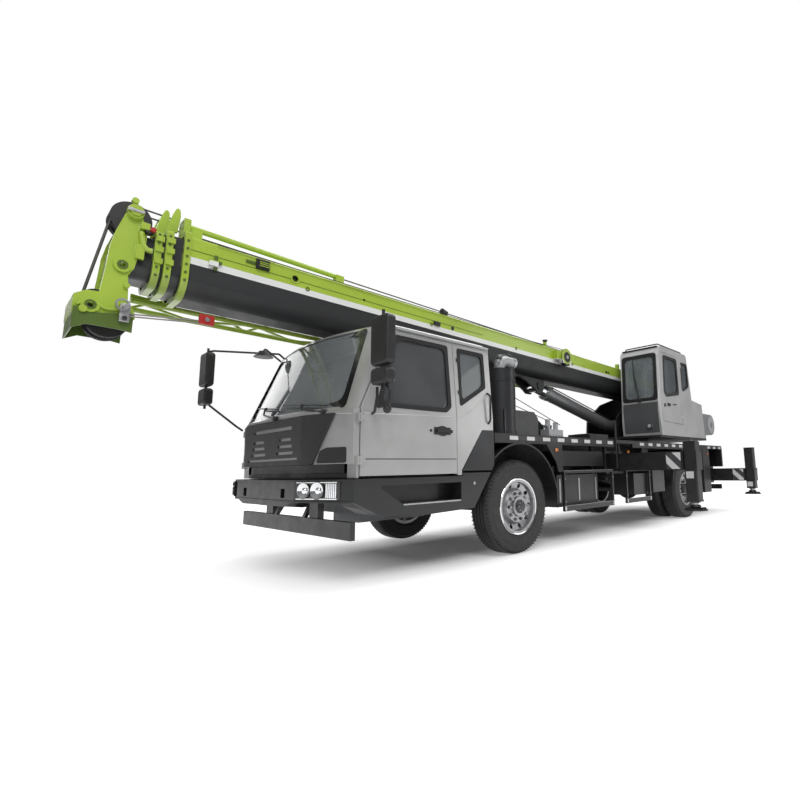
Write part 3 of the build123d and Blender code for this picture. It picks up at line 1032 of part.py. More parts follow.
with BuildPart() as boom_base:
    boom_section("boom_base")
    wear_pads("boom_base")
    base_front = NOSE_ALONG - SECTIONS["boom_base"][5]
    top = SECTIONS["boom_base"][2]
    half = SECTIONS["boom_base"][0] / 2
    for side in SIDES.values():
        boom_side_prism([(CYLINDER_HEAD_ALONG - 130, -200), (CYLINDER_HEAD_ALONG + 640, -200),
                         (CYLINDER_HEAD_ALONG + 130, -CYLINDER_HEAD_DROP - 50),
                         (CYLINDER_HEAD_ALONG + 50, -CYLINDER_HEAD_DROP - 105),
                         (CYLINDER_HEAD_ALONG - 60, -CYLINDER_HEAD_DROP - 105),
                         (CYLINDER_HEAD_ALONG - 115, -CYLINDER_HEAD_DROP - 40)], side_y_span(side, 95, 130))
    boom_tube(SECTIONS["boom_base"][0] - 2 * BOOM_WALL, SECTIONS["boom_base"][1] + BOOM_WALL, top - BOOM_WALL,
              SECTIONS["boom_base"][3] - BOOM_WALL, (3000, 5000), mode=Mode.SUBTRACT)
    for side in SIDES.values():
        boom_bar(CYLINDER_HEAD_ALONG, side_y_span(side, 130, 146), -CYLINDER_HEAD_DROP, 62)
    boom_bar(0, (-290, 290), 0, PIVOT_PIN_RADIUS + SEAT, mode=Mode.SUBTRACT)
    # bolted fittings on the left side, and the guide tube over the top
    boom_bar(NOSE_ALONG - 1588, (half, half + 8), 140, 48)
    boom_bar(NOSE_ALONG - 1588, (half - 60, half + 20), 140, 32, mode=Mode.SUBTRACT)
    boom_block((NOSE_ALONG - 1330, NOSE_ALONG - 1240), (half, half + 34), (150, 205))
    boom_bar(2140, (half - 30, half + 5), 105, 26, mode=Mode.SUBTRACT)
    boom_bar(NOSE_ALONG - 2358, (half - 30, half + 5), 130, 15, mode=Mode.SUBTRACT)
    boom_bar(3580, (half, half + 60), 110, 70)
    boom_bar(3580, (half + 60, half + 130), 110, 140)
    boom_block((3640, 3790), (half, half + 90), (60, 190))
    boom_block((1600, 1660), (half - 80, half - 20), (top, top + 90))
    boom_block((3870, 3920), (half - 95, half - 55), (top, top + 85))
    for along in (base_front - 1480, base_front - 110):
        boom_block((along - 45, along + 45), (95, 165), (top, top + 120))
    bar(boom_point(base_front - 1500, 130, top + 105), boom_point(base_front - 60, 130, top + 130), 25)
    boom_block((base_front - COLLAR_LENGTH, base_front), (60, 220), (top + COLLAR_GROWTH, top + 165))
    boom_block((base_front - 260, base_front - 190), (half, half + 45), (25, 75))
save(boom_base, "boom_base")

# inner face of each section's pair of ears, which pass beside the next section's
EAR_Y = {"boom_section_2": 122, "boom_section_3": 80}
EAR_THICK = 30
# outline of an ear: distance back from the collar's front, height over the collar
EAR = [(50, -5), (0, -5), (10, 40), (45, 190), (66, 252), (84, 265), (100, 248), (106, 195), (92, 45), (50, 40)]

for name in ("boom_section_2", "boom_section_3"):
    with BuildPart() as section_part:
        boom_section(name)
        wear_pads(name)
        front = NOSE_ALONG - SECTIONS[name][5]
        ear = SECTIONS[name][2] + COLLAR_GROWTH
        for side in SIDES.values():
            boom_side_prism([(front - back, ear + up) for back, up in EAR],
                            side_y_span(side, EAR_Y[name], EAR_Y[name] + EAR_THICK))
        for low_up in (-60, 40, 130):
            boom_block((front - 60, front - 5), side_y_span(1, SECTIONS[name][0] / 2 + COLLAR_GROWTH - 5,
                                                           SECTIONS[name][0] / 2 + COLLAR_GROWTH + 18),
                       (low_up, low_up + 45))
    save(section_part, name)

# points of the head's side plates: distance back from the nose, height over the pivot line
HEAD_PLATE = [
    (376, 230), (341, 349), (247, 313), (192, 122), (172, 13), (160, -199), (142, -388), (70, -392), (0, -440),
    (0, NOSE_UP), (354, NOSE_UP), (378, -550), (370, -500), (321, -430), (315, -339), (303, -212), (335, -142),
    (356, -22), (395, 100), (395, 200),
]
HEAD_PLATE_Y = (SECTIONS["boom_section_4"][0] / 2, SECTIONS["boom_section_4"][0] / 2 + 28)
# distance back from the nose, height, radius
SHEAVES = [(301, 320, 142), (226, -560, 140), (141, -430, 96)]
# bores for the jib's pins: distance back from the nose, height
JIB_BORES = [(258, -140), (100, -505)]
JIB_BORE_RADIUS = 20
HEAD_PIN_RADIUS = 32

with BuildPart() as boom_head:
    boom_section("boom_section_4")
    outer_y = HEAD_PLATE_Y[1]
    for side in SIDES.values():
        boom_side_prism([(NOSE_ALONG - back, up) for back, up in HEAD_PLATE], side_y_span(side, *HEAD_PLATE_Y))
        for back, up in JIB_BORES:
            boom_bar(NOSE_ALONG - back, side_y_span(side, outer_y, outer_y + 22), up, 58)
            boom_bar(NOSE_ALONG - back, side_y_span(side, HEAD_PLATE_Y[0] - 5, outer_y + 30), up, JIB_BORE_RADIUS,
                     mode=Mode.SUBTRACT)
    for back, up, radius in SHEAVES:
        boom_bar(NOSE_ALONG - back, (-outer_y, outer_y), up, HEAD_PIN_RADIUS)
    boom_bar(NOSE_ALONG - SHEAVES[0][0], (outer_y, outer_y + 26), SHEAVES[0][1], 50)
    inner = HEAD_PLATE_Y[0]
    boom_block((NOSE_ALONG - 36, NOSE_ALONG), (-inner, inner), (NOSE_UP, -440))
    boom_block((NOSE_ALONG - 354, NOSE_ALONG - 330), (-inner, inner), (NOSE_UP + 40, -440))
    boom_side_prism([(NOSE_ALONG - back, up) for back, up in ((190, 0), (206, 0), (196, -200), (250, -380), (234, -380),
                                                             (180, -200))], (-inner, inner))
    boom_block((NOSE_ALONG - 310, NOSE_ALONG - 280), (outer_y - 20, outer_y), (340, 430))
    boom_bar(NOSE_ALONG - 295, (outer_y - 34, outer_y + 10), 425, 24)
    boom_block((NOSE_ALONG - 400, NOSE_ALONG - 340), (outer_y, outer_y + 50), (190, 245))
    boom_block((NOSE_ALONG - 385, NOSE_ALONG - 330), (outer_y, outer_y + 30), (-60, 60))
save(boom_head, "boom_head")


def sheave(back, up, radius, y):
    """Grooved rope wheel turned about its pin."""
    centre = boom_point(NOSE_ALONG - back, y, up)
    with BuildSketch(Plane(origin=centre, x_dir=UP, z_dir=ALONG)) as section:
        Polygon((HEAD_PIN_RADIUS, -24), (radius, -24), (radius, -16), (radius - 22, -6), (radius - 22, 6),
                (radius, 16), (radius, 24), (HEAD_PIN_RADIUS, 24), align=None)
    revolve(section.sketch, axis=Axis(centre, (0, 1, 0)))


with BuildPart() as sheaves:
    for back, up, radius in SHEAVES:
        for y in (-62, 62):
            sheave(back, up, radius, y)
    add(boom_head.part, mode=Mode.SUBTRACT)
save(sheaves, "sheaves")

JIB_ENDS = (3000, NOSE_ALONG - 421)
JIB_BAYS = 12
# chord: distance from the middle, height over the pivot line
JIB_CHORDS = {"inner_low": (-335, -240), "outer_low": (-620, -240), "inner_high": (-335, 20), "outer_high": (-620, 20)}
with BuildPart() as stowed_jib:
    for y, up in JIB_CHORDS.values():
        bar(boom_point(JIB_ENDS[0], y, up), boom_point(JIB_ENDS[1], y, up), 24)
    pitch = (JIB_ENDS[1] - JIB_ENDS[0] - 40) / JIB_BAYS
    for index in range(JIB_BAYS):
        start = JIB_ENDS[0] + 20 + index * pitch
        for first, second in (("inner_low", "outer_low"), ("outer_low", "outer_high"), ("outer_high", "inner_high")):
            near, far = (first, second) if index % 2 == 0 else (second, first)
            square_bar(boom_point(start, *JIB_CHORDS[near]), boom_point(start + pitch, *JIB_CHORDS[far]), 20)
    for along in (3600, JIB_ENDS[1] - 700):
        boom_block((along - 60, along + 60), (-350, -270), (-40, 40))
    boom_side_prism([(JIB_ENDS[1] - 380, -250), (JIB_ENDS[1] - 340, -200), (JIB_ENDS[1], -175), (JIB_ENDS[1], -250)],
                    (-372, -350))
save(stowed_jib, "stowed_jib")

# ---------------------------------------------------------------- luffing cylinder
HEAD = boom_point(CYLINDER_HEAD_ALONG, 0, -CYLINDER_HEAD_DROP)
FOOT = (CYLINDER_FOOT[0], 0, CYLINDER_FOOT[1])
REACH = hypot(HEAD[0] - FOOT[0], HEAD[2] - FOOT[2])
CYL = ((HEAD[0] - FOOT[0]) / REACH, 0, (HEAD[2] - FOOT[2]) / REACH)
BARREL_LENGTH = REACH - 290


def on_cylinder(distance):
    """Point on the cylinder's line, measured from its foot."""
    return (FOOT[0] + distance * CYL[0], 0, FOOT[2] + distance * CYL[2])


with BuildPart() as luff_barrel:
    bar(on_cylinder(0), on_cylinder(BARREL_LENGTH), 110)
    bar(on_cylinder(BARREL_LENGTH - 90), on_cylinder(BARREL_LENGTH), 122)
    bar((FOOT[0], -110, FOOT[2]), (FOOT[0], 110, FOOT[2]), 120)
    bar(on_cylinder(130), on_cylinder(BARREL_LENGTH + 10), 85 + SEAT, mode=Mode.SUBTRACT)
    bar((FOOT[0], -130, FOOT[2]), (FOOT[0], 130, FOOT[2]), FOOT_PIN_RADIUS + SEAT, mode=Mode.SUBTRACT)
save(luff_barrel, "luff_cylinder_barrel")

with BuildPart() as luff_rod:
    bar(on_cylinder(140), on_cylinder(REACH), 85)
    bar((HEAD[0], -85, HEAD[2]), (HEAD[0], 85, HEAD[2]), 90)
save(luff_rod, "luff_cylinder_rod")
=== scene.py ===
import json
import logging
import math
from dataclasses import dataclass, field
from enum import Enum
from typing import Callable, Iterable, Optional, Sequence, Union

import bmesh
import bpy
from mathutils import Matrix, Vector

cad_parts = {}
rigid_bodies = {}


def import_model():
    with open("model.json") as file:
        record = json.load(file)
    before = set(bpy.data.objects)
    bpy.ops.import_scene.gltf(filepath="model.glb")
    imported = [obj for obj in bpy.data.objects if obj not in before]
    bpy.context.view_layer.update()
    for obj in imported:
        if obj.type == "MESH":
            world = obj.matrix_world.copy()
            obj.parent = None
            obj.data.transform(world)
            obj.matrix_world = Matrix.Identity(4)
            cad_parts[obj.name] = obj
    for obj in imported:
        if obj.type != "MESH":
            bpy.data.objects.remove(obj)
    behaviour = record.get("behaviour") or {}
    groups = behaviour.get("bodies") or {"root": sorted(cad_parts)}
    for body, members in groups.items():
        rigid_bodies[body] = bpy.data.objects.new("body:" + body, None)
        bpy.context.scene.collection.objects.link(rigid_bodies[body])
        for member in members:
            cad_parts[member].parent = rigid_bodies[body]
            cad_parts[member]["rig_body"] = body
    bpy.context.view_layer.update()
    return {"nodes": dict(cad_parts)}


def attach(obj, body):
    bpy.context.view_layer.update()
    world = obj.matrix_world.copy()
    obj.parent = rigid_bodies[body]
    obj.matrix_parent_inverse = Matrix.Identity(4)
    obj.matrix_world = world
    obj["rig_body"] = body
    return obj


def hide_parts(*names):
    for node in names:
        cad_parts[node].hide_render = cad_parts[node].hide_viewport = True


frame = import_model()

LOG = logging.getLogger("truck_crane")
SIDES = {"left": 1, "right": -1}
Colour = tuple[float, float, float]
Point = tuple[float, float, float]
Pair = tuple[float, float]
Number = Union[float, "Wire"]


# ---------------------------------------------------------------- shader maths
@dataclass(frozen=True)
class Wire:
    """A shader node's output that takes part in sums, products and comparisons."""

    graph: "Graph"
    socket: bpy.types.NodeSocket

    def _sum(self, operation: str, first: Number, second: Number) -> "Wire":
        """Adds a Math node and returns its output."""
        return self.graph.node("Math", {"operation": operation}, {0: first, 1: second})

    def __add__(self, other: Number) -> "Wire":
        """Returns self + other."""
        return self._sum("ADD", self, other)

    def __radd__(self, other: Number) -> "Wire":
        """Returns other + self."""
        return self._sum("ADD", other, self)

    def __sub__(self, other: Number) -> "Wire":
        """Returns self - other."""
        return self._sum("SUBTRACT", self, other)

    def __rsub__(self, other: Number) -> "Wire":
        """Returns other - self."""
        return self._sum("SUBTRACT", other, self)

    def __mul__(self, other: Number) -> "Wire":
        """Returns self * other."""
        return self._sum("MULTIPLY", self, other)

    def __rmul__(self, other: Number) -> "Wire":
        """Returns other * self."""
        return self._sum("MULTIPLY", other, self)

    def __truediv__(self, other: Number) -> "Wire":
        """Returns self / other."""
        return self._sum("DIVIDE", self, other)

    def __gt__(self, other: Number) -> "Wire":
        """Returns 1 where self is above other, else 0."""
        return self._sum("GREATER_THAN", self, other)

    def __lt__(self, other: Number) -> "Wire":
        """Returns 1 where self is below other, else 0."""
        return self._sum("LESS_THAN", self, other)

    def __mod__(self, other: Number) -> "Wire":
        """Returns self wrapped into the span from 0 to other."""
        return self._sum("FLOORED_MODULO", self, other)

    def __abs__(self) -> "Wire":
        """Returns the size of self without its sign."""
        return self._sum("ABSOLUTE", self, 0.0)


class Graph:
    """The node tree of one material, built call by call."""

    def __init__(self, name: str, world: Optional[bpy.types.World] = None) -> None:
        """Starts a material, or fills a world, with an empty node tree.

        Args:
            name: the material's name.
            world: the world to fill instead; its position is a direction.
        """
        self.material = world or bpy.data.materials.new(name)
        self.material.use_nodes = True
        self.tree = self.material.node_tree
        self.tree.nodes.clear()
        place = self.node("TexCoord", out="Generated" if world else "Object")
        self.position = place
        self.x = self.node("SeparateXYZ", {}, {0: place}, out="X")
        self.y = Wire(self, self.x.socket.node.outputs["Y"])
        self.z = Wire(self, self.x.socket.node.outputs["Z"])

    def node(self, kind: str, settings: Optional[dict] = None, values: Optional[dict] = None,
             out: Union[int, str] = 0) -> Wire:
        """Adds one node, sets it up and returns one of its outputs.

        Args:
            kind: the node's type name after ShaderNode.
            settings: node properties, and "stops" for a colour ramp, set before the sockets.
            values: socket name or number to a value or a Wire.
            out: name or number of the output to return.

        Returns:
            The chosen output.
        """
        node = self.tree.nodes.new("ShaderNode" + kind)
        for name, value in (settings or {}).items():
            if name == "stops":
                while len(node.color_ramp.elements) < len(value):
                    node.color_ramp.elements.new(0.5)
                for element, (place, colour) in zip(node.color_ramp.elements, value):
                    element.position = place
                    element.color = (*colour, 1.0)
            else:
                setattr(node, name, value)
        for name, value in (values or {}).items():
            socket = node.inputs[name]
            if isinstance(value, Wire):
                self.tree.links.new(value.socket, socket)
            elif isinstance(value, tuple) and len(value) == 3 and socket.type == "RGBA":
                socket.default_value = (*value, 1.0)
            else:
                socket.default_value = value
        return Wire(self, node.outputs[out]) if len(node.outputs) else Wire(self, None)

    def blend(self, mask: Number, low: Union[Colour, Wire], high: Union[Colour, Wire]) -> Wire:
        """Mixes two colours by a mask from 0 to 1 and returns the result."""
        return self.node("Mix", {"data_type": "RGBA", "clamp_factor": True}, {0: mask, 6: low, 7: high}, out=2)

    def noise(self, scale: float, detail: float = 2.0, stretch: Point = (1.0, 1.0, 1.0)) -> Wire:
        """Returns a soft random value around 0.5, in object space.

        Args:
            scale: how many blobs there are to a metre.
            detail: how many finer layers it has.
            stretch: a factor for each axis, above 1 for finer.
        """
        place = self.node("Mapping", {}, {"Vector": self.position, "Scale": stretch})
        return self.node("TexNoise", {}, {"Vector": place, "Scale": scale, "Detail": detail})

    def spread(self, value: Wire, low: float, high: float, to_low: float = 0.0, to_high: float = 1.0) -> Wire:
        """Returns value taken from one span to another, held at the ends."""
        return self.node("MapRange", {"clamp": True}, {
            "Value": value, "From Min": low, "From Max": high, "To Min": to_low, "To Max": to_high})

    def bump(self, height: Wire, depth: float, strength: float = 1.0) -> Wire:
        """Returns a normal disturbed by a height that is depth metres at 1."""
        return self.node("Bump", {}, {"Height": height, "Distance": depth, "Strength": strength})

    def finish(self, **values: Union[float, Colour, Wire]) -> bpy.types.Material:
        """Ends the material in a Principled shader.

        Args:
            **values: Principled socket names, with underscores for spaces.

        Returns:
            The finished material.
        """
        shader = self.node("BsdfPrincipled", {}, {
            name.replace("_", " "): value for name, value in values.items()}, out="BSDF")
        return self.close(shader)

    def close(self, shader: Wire) -> bpy.types.Material:
        """Links a shader to the material's output and returns the material."""
        self.node("OutputMaterial", {}, {"Surface": shader})
        return self.material


# ---------------------------------------------------------------- finishes
@dataclass(frozen=True)
class Paint:
    """Sprayed paint with a faint orange peel, cloudy gloss and dust near the road."""

    name: str
    colour: Colour
    metallic: float = 0.0
    roughness: float = 0.32
    coat: float = 0.4
    dust: float = 0.12
    dust_top: float = 1.3

    def colours(self, graph: Graph) -> Wire:
        """Returns the paint's colour before dust."""
        shade = graph.noise(1.7, 3.0)
        darker = tuple(0.86 * part for part in self.colour)
        return graph.blend(graph.spread(shade, 0.35, 0.65), darker, self.colour)

    def make(self) -> bpy.types.Material:
        """Builds and returns the material."""
        graph = Graph(self.name)
        cloud = graph.noise(9.0, 4.0)
        low = graph.spread(graph.z, self.dust_top, 0.2) * graph.spread(cloud, 0.3, 0.75)
        dirt = low * self.dust
        colour = graph.blend(dirt, self.colours(graph), (0.33, 0.30, 0.26))
        fine = graph.noise(700.0, 1.0)
        matt = self.matt_part(graph)
        rough = graph.spread(cloud, 0.3, 0.7, self.roughness * 0.85, self.roughness * 1.2) + dirt * 0.5
        coat = self.coat if matt is None else self.coat * (1.0 - matt * 0.85)
        return graph.finish(Base_Color=colour, Metallic=self.metallic,
                            Roughness=rough if matt is None else rough + matt * 0.25,
                            Coat_Weight=coat, Coat_Roughness=0.12, Normal=graph.bump(fine, 0.0002, 0.35))

    def matt_part(self, graph: Graph) -> Optional[Wire]:
        """Returns a mask of what has less gloss, where there is such a part."""
        return None


@dataclass(frozen=True)
class BoomPaint(Paint):
    """Boom paint in three bands that follow the stowed boom: lime above, a white line and black below."""

    line: Colour = (0.86, 0.87, 0.85)
    below: Colour = (0.011, 0.012, 0.013)
    line_top: float = 0.066
    line_low: float = 0.004
    pivot: Pair = (-4.33, 2.54)
    angle: float = math.radians(1.1)

    def _across(self, graph: Graph) -> Wire:
        """Returns the height square to the boom, from its pivot's line."""
        return ((graph.z - self.pivot[1]) * math.cos(self.angle) - (graph.x - self.pivot[0]) * math.sin(self.angle))

    def matt_part(self, graph: Graph) -> Optional[Wire]:
        """Returns a mask of the black band."""
        return self._across(graph) < self.line_low

    def colours(self, graph: Graph) -> Wire:
        """Returns the three bands by the height square to the boom."""
        across = self._across(graph)
        upper = graph.blend(graph.spread(graph.noise(1.3, 2.0), 0.35, 0.65),
                            tuple(0.9 * part for part in self.colour), self.colour)
        with_line = graph.blend(across < self.line_top, upper, self.line)
        return graph.blend(across < self.line_low, with_line, self.below)


@dataclass(frozen=True)
class Plastic:
    """Moulded plastic with a fine leather grain."""

    name: str
    colour: Colour
    roughness: float = 0.5
    grain: float = 0.0005
    grain_scale: float = 420.0

    def make(self) -> bpy.types.Material:
        """Builds and returns the material."""
        graph = Graph(self.name)
        cloud = graph.noise(6.0, 4.0)
        cells = graph.node("TexVoronoi", {}, {"Vector": graph.position, "Scale": self.grain_scale})
        colour = graph.blend(graph.spread(cloud, 0.3, 0.7), tuple(0.75 * part for part in self.colour), self.colour)
        rough = graph.spread(cloud, 0.3, 0.7, self.roughness - 0.07, self.roughness + 0.08)
        return graph.finish(Base_Color=colour, Roughness=rough, Normal=graph.bump(cells, self.grain, 0.5))


@dataclass(frozen=True)
class Metal:
    """Bare or plated metal with fine brushing and cloudy roughness."""

    name: str
    colour: Colour
    roughness: float = 0.25
    brush: Point = (1.0, 1.0, 1.0)
    brush_depth: float = 0.0001

    def make(self) -> bpy.types.Material:
        """Builds and returns the material."""
        graph = Graph(self.name)
        cloud = graph.noise(12.0, 4.0)
        scratches = graph.noise(260.0, 2.0, self.brush)
        colour = graph.blend(graph.spread(cloud, 0.3, 0.7), tuple(0.84 * part for part in self.colour), self.colour)
        rough = graph.spread(cloud + scratches * 0.3, 0.4, 0.9, self.roughness * 0.8, self.roughness * 1.35)
        return graph.finish(Base_Color=colour, Metallic=1.0, Roughness=rough,
                            Normal=graph.bump(scratches, self.brush_depth, 0.4))


@dataclass(frozen=True)
class Rubber:
    """Tyre rubber with a dry bloom and dust on the tread."""

    name: str
    colour: Colour = (0.022, 0.022, 0.023)
    roughness: float = 0.62

    def make(self) -> bpy.types.Material:
        """Builds and returns the material."""
        graph = Graph(self.name)
        cloud = graph.noise(14.0, 5.0)
        fine = graph.noise(900.0, 2.0)
        colour = graph.blend(graph.spread(cloud, 0.42, 0.8), self.colour, (0.06, 0.057, 0.052))
        rough = graph.spread(cloud, 0.3, 0.7, self.roughness - 0.08, self.roughness + 0.15)
        return graph.finish(Base_Color=colour, Roughness=rough, Normal=graph.bump(fine, 0.0003, 0.5))


@dataclass(frozen=True)
class Glass:
    """Tinted pane, part see-through, with a faint cloudy film of dust that varies its tint, see-through share and
    gloss.
    """

    name: str
    colour: Colour
    alpha: float = 0.7

    def make(self) -> bpy.types.Material:
        """Builds and returns the material."""
        graph = Graph(self.name)
        film = graph.noise(3.0, 4.0)
        # The base colour is partly the pane's tint and partly a painted reflection of the bright surroundings.
        colour = graph.blend(graph.spread(film, 0.3, 0.7), tuple(0.8 * part for part in self.colour), self.colour)
        alpha = graph.spread(film, 0.3, 0.7, self.alpha - 0.03, self.alpha + 0.03)
        rough = graph.spread(film, 0.35, 0.75, 0.02, 0.06)
        return graph.finish(Base_Color=colour, Alpha=alpha, Roughness=rough, Coat_Weight=0.6, Coat_Roughness=0.02,
                            IOR=1.52)


@dataclass(frozen=True)
class Stripes:
    """Two colours in bands at an angle in the plane of X or Y and Z."""

    name: str
    first: Colour
    second: Colour
    pitch: float
    direction: Point
    share: float = 0.5
    roughness: float = 0.35

    def make(self) -> bpy.types.Material:
        """Builds and returns the material."""
        graph = Graph(self.name)
        along = graph.node("VectorMath", {"operation": "DOT_PRODUCT"},
                           {0: graph.position, 1: self.direction}, out="Value")
        band = (along % self.pitch) > self.pitch * self.share
        wear = graph.noise(30.0, 4.0)
        colour = graph.blend(band, self.first, self.second)
        worn = graph.blend(graph.spread(wear, 0.6, 0.8) * 0.4, colour, (0.2, 0.19, 0.18))
        prism = graph.node("TexVoronoi", {}, {"Vector": graph.position, "Scale": 260.0})
        return graph.finish(Base_Color=worn, Roughness=graph.spread(wear, 0.3, 0.7, self.roughness, 0.6),
                            Normal=graph.bump(prism, 0.0003, 0.3))


@dataclass(frozen=True)
class Lens:
    """Lamp lens with fine upright ribs and a little light of its own."""

    name: str
    colour: Colour
    glow: float = 0.0
    ribs: float = 130.0
    alpha: float = 0.85

    def make(self) -> bpy.types.Material:
        """Builds and returns the material."""
        graph = Graph(self.name)
        wave = graph.node("TexWave", {"bands_direction": "Y"},
                          {"Vector": graph.position, "Scale": self.ribs / 6.28, "Distortion": 0.0})
        cloud = graph.noise(40.0, 2.0)
        colour = graph.blend(graph.spread(cloud, 0.3, 0.7), tuple(0.7 * part for part in self.colour), self.colour)
        return graph.finish(Base_Color=colour, Roughness=graph.spread(cloud, 0.3, 0.7, 0.06, 0.16), Alpha=self.alpha,
                            Coat_Weight=0.8, Emission_Color=self.colour, Emission_Strength=self.glow,
                            Normal=graph.bump(wave, 0.0008, 0.6))


@dataclass(frozen=True)
class WoundRope:
    """Steel rope laid turn beside turn across a drum, with painted shade in the grooves between turns."""

    name: str
    colour: Colour = (0.16, 0.155, 0.15)
    turn: float = 0.014

    def make(self) -> bpy.types.Material:
        """Builds and returns the material."""
        graph = Graph(self.name)
        turns = abs((graph.y % self.turn) / self.turn - 0.5)
        strands = graph.noise(400.0, 2.0, (1.0, 3.0, 1.0))
        # The grooves between turns are painted near black: painted shade.
        groove = graph.spread(turns, 0.3, 0.5)
        colour = graph.blend(groove, self.colour, (0.02, 0.02, 0.02))
        return graph.finish(Base_Color=colour, Metallic=0.7, Roughness=graph.spread(strands, 0.3, 0.7, 0.35, 0.6),
                            Normal=graph.bump(1.0 - turns * 2.0 + strands * 0.2, 0.004, 0.8))


class Tone(Enum):
    """The finishes of the crane, each made once and shared."""

    LIME = Paint("lime_paint", (0.43, 0.60, 0.055), 0.0, 0.30, 0.45)
    BOOM = BoomPaint("boom_paint", (0.43, 0.60, 0.055), 0.0, 0.30, 0.45)
    # A darker copy of the lime paint: painted shade on lime parts that lie in shade, such as the skirt under the head,
    # small rings, boxes on the boom's side and the collar bolts.
    DARK_LIME = Paint("shaded_lime_paint", (0.085, 0.150, 0.012), 0.0, 0.42, 0.2)
    SILVER = Paint("silver_paint", (0.50, 0.50, 0.495), 0.45, 0.34, 0.6)
    # Light silver: the operator's cab paint, and on the carrier cab's crease beads a painted highlight.
    SILVER_LIGHT = Paint("light_silver_paint", (0.60, 0.60, 0.60), 0.35, 0.34, 0.6)
    CHARCOAL = Paint("charcoal_paint", (0.014, 0.015, 0.017), 0.1, 0.42, 0.2, 0.05)
    # Painted shade: the grey of the operator's cab front below its window.
    DARK_GREY = Paint("grey_painted_shade", (0.115, 0.12, 0.125), 0.2, 0.38, 0.3)
    # Black paint, made blacker still so that it also paints the shade under the deck.
    CHASSIS = Paint("chassis_paint", (0.007, 0.007, 0.008), 0.0, 0.48, 0.1, 0.05)
    BLACK_GLOSS = Paint("black_gloss_paint", (0.008, 0.008, 0.009), 0.0, 0.2, 0.7)
    GREY_CASTING = Paint("grey_casting_paint", (0.22, 0.23, 0.24), 0.1, 0.5, 0.1)
    LIGHT_GREY = Paint("light_grey_paint", (0.45, 0.46, 0.47), 0.1, 0.4, 0.3)
    GREY_CYLINDER = Paint("cylinder_paint", (0.20, 0.203, 0.208), 0.2, 0.34, 0.4)
    PLATE_WHITE = Paint("blank_plate_white", (0.75, 0.75, 0.74), 0.0, 0.4, 0.2)
    RED_TAPE = Paint("red_tape", (0.42, 0.02, 0.015), 0.0, 0.35, 0.3)
    RED = Paint("red_paint", (0.50, 0.02, 0.015), 0.0, 0.35, 0.3)
    TRIM = Plastic("dark_trim_plastic", (0.018, 0.018, 0.019), 0.48)
    GRILLE = Plastic("grille_plastic", (0.024, 0.025, 0.027), 0.42)
    SEAT_CLOTH = Plastic("seat_cloth", (0.035, 0.037, 0.042), 0.85, 0.0015, 260.0)
    DASH = Plastic("dash_plastic", (0.05, 0.05, 0.052), 0.6)
    SOFT_SEAL = Plastic("rubber_seal", (0.010, 0.010, 0.011), 0.55)
    HOSE = Plastic("hose_rubber", (0.016, 0.016, 0.017), 0.5)
    CABLE = Plastic("grey_cable", (0.30, 0.28, 0.27), 0.5)
    ALUMINIUM = Metal("wheel_aluminium", (0.42, 0.42, 0.43), 0.40)
    STEEL = Metal("machined_steel", (0.46, 0.46, 0.47), 0.32)
    CHROME = Metal("chrome", (0.80, 0.81, 0.82), 0.07, (1.0, 1.0, 1.0), 0.00002)
    DARK_STEEL = Metal("dark_steel", (0.10, 0.10, 0.105), 0.4)
    MIRROR = Metal("mirror_glass", (0.72, 0.74, 0.76), 0.03, (1.0, 1.0, 1.0), 0.00001)
    BULB = Metal("bulb_glass", (0.9, 0.92, 0.95), 0.12)
    TREAD_PLATE = Metal("tread_plate", (0.34, 0.34, 0.35), 0.36)
    ROPE = Metal("hoist_rope", (0.13, 0.125, 0.12), 0.5, (1.0, 1.0, 6.0), 0.0006)
    TYRE = Rubber("tyre_rubber")
    # Near-black tyre rubber: painted shade of the shoulder grooves.
    TYRE_GROOVE = Rubber("tyre_groove_painted_shade", (0.006, 0.006, 0.006), 0.75)
    # The glass colours are partly the panes' tint and partly a painted reflection of the bright surroundings.
    SIDE_GLASS = Glass("side_glass", (0.115, 0.120, 0.125), 0.74)
    WINDSCREEN = Glass("windscreen_glass", (0.32, 0.35, 0.36), 0.48)
    CRANE_GLASS = Glass("operator_glass", (0.38, 0.43, 0.45), 0.36)
    HEADLAMP = Lens("headlamp_lens", (0.80, 0.82, 0.84), 0.0, 130.0, 0.35)
    AMBER = Lens("amber_lens", (0.75, 0.22, 0.01), 0.02)
    RED_LENS = Lens("red_lens", (0.45, 0.01, 0.008), 0.02)
    END_STRIPES = Stripes("end_plate_stripes", (0.72, 0.72, 0.72), (0.055, 0.055, 0.06), 0.16, (0.0, 0.707, 0.707))
    DRUM_ROPE = WoundRope("wound_rope")

    @property
    def material(self) -> bpy.types.Material:
        """The finish's material, built on first use."""
        return bpy.data.materials.get(self.value.name) or self.value.make()


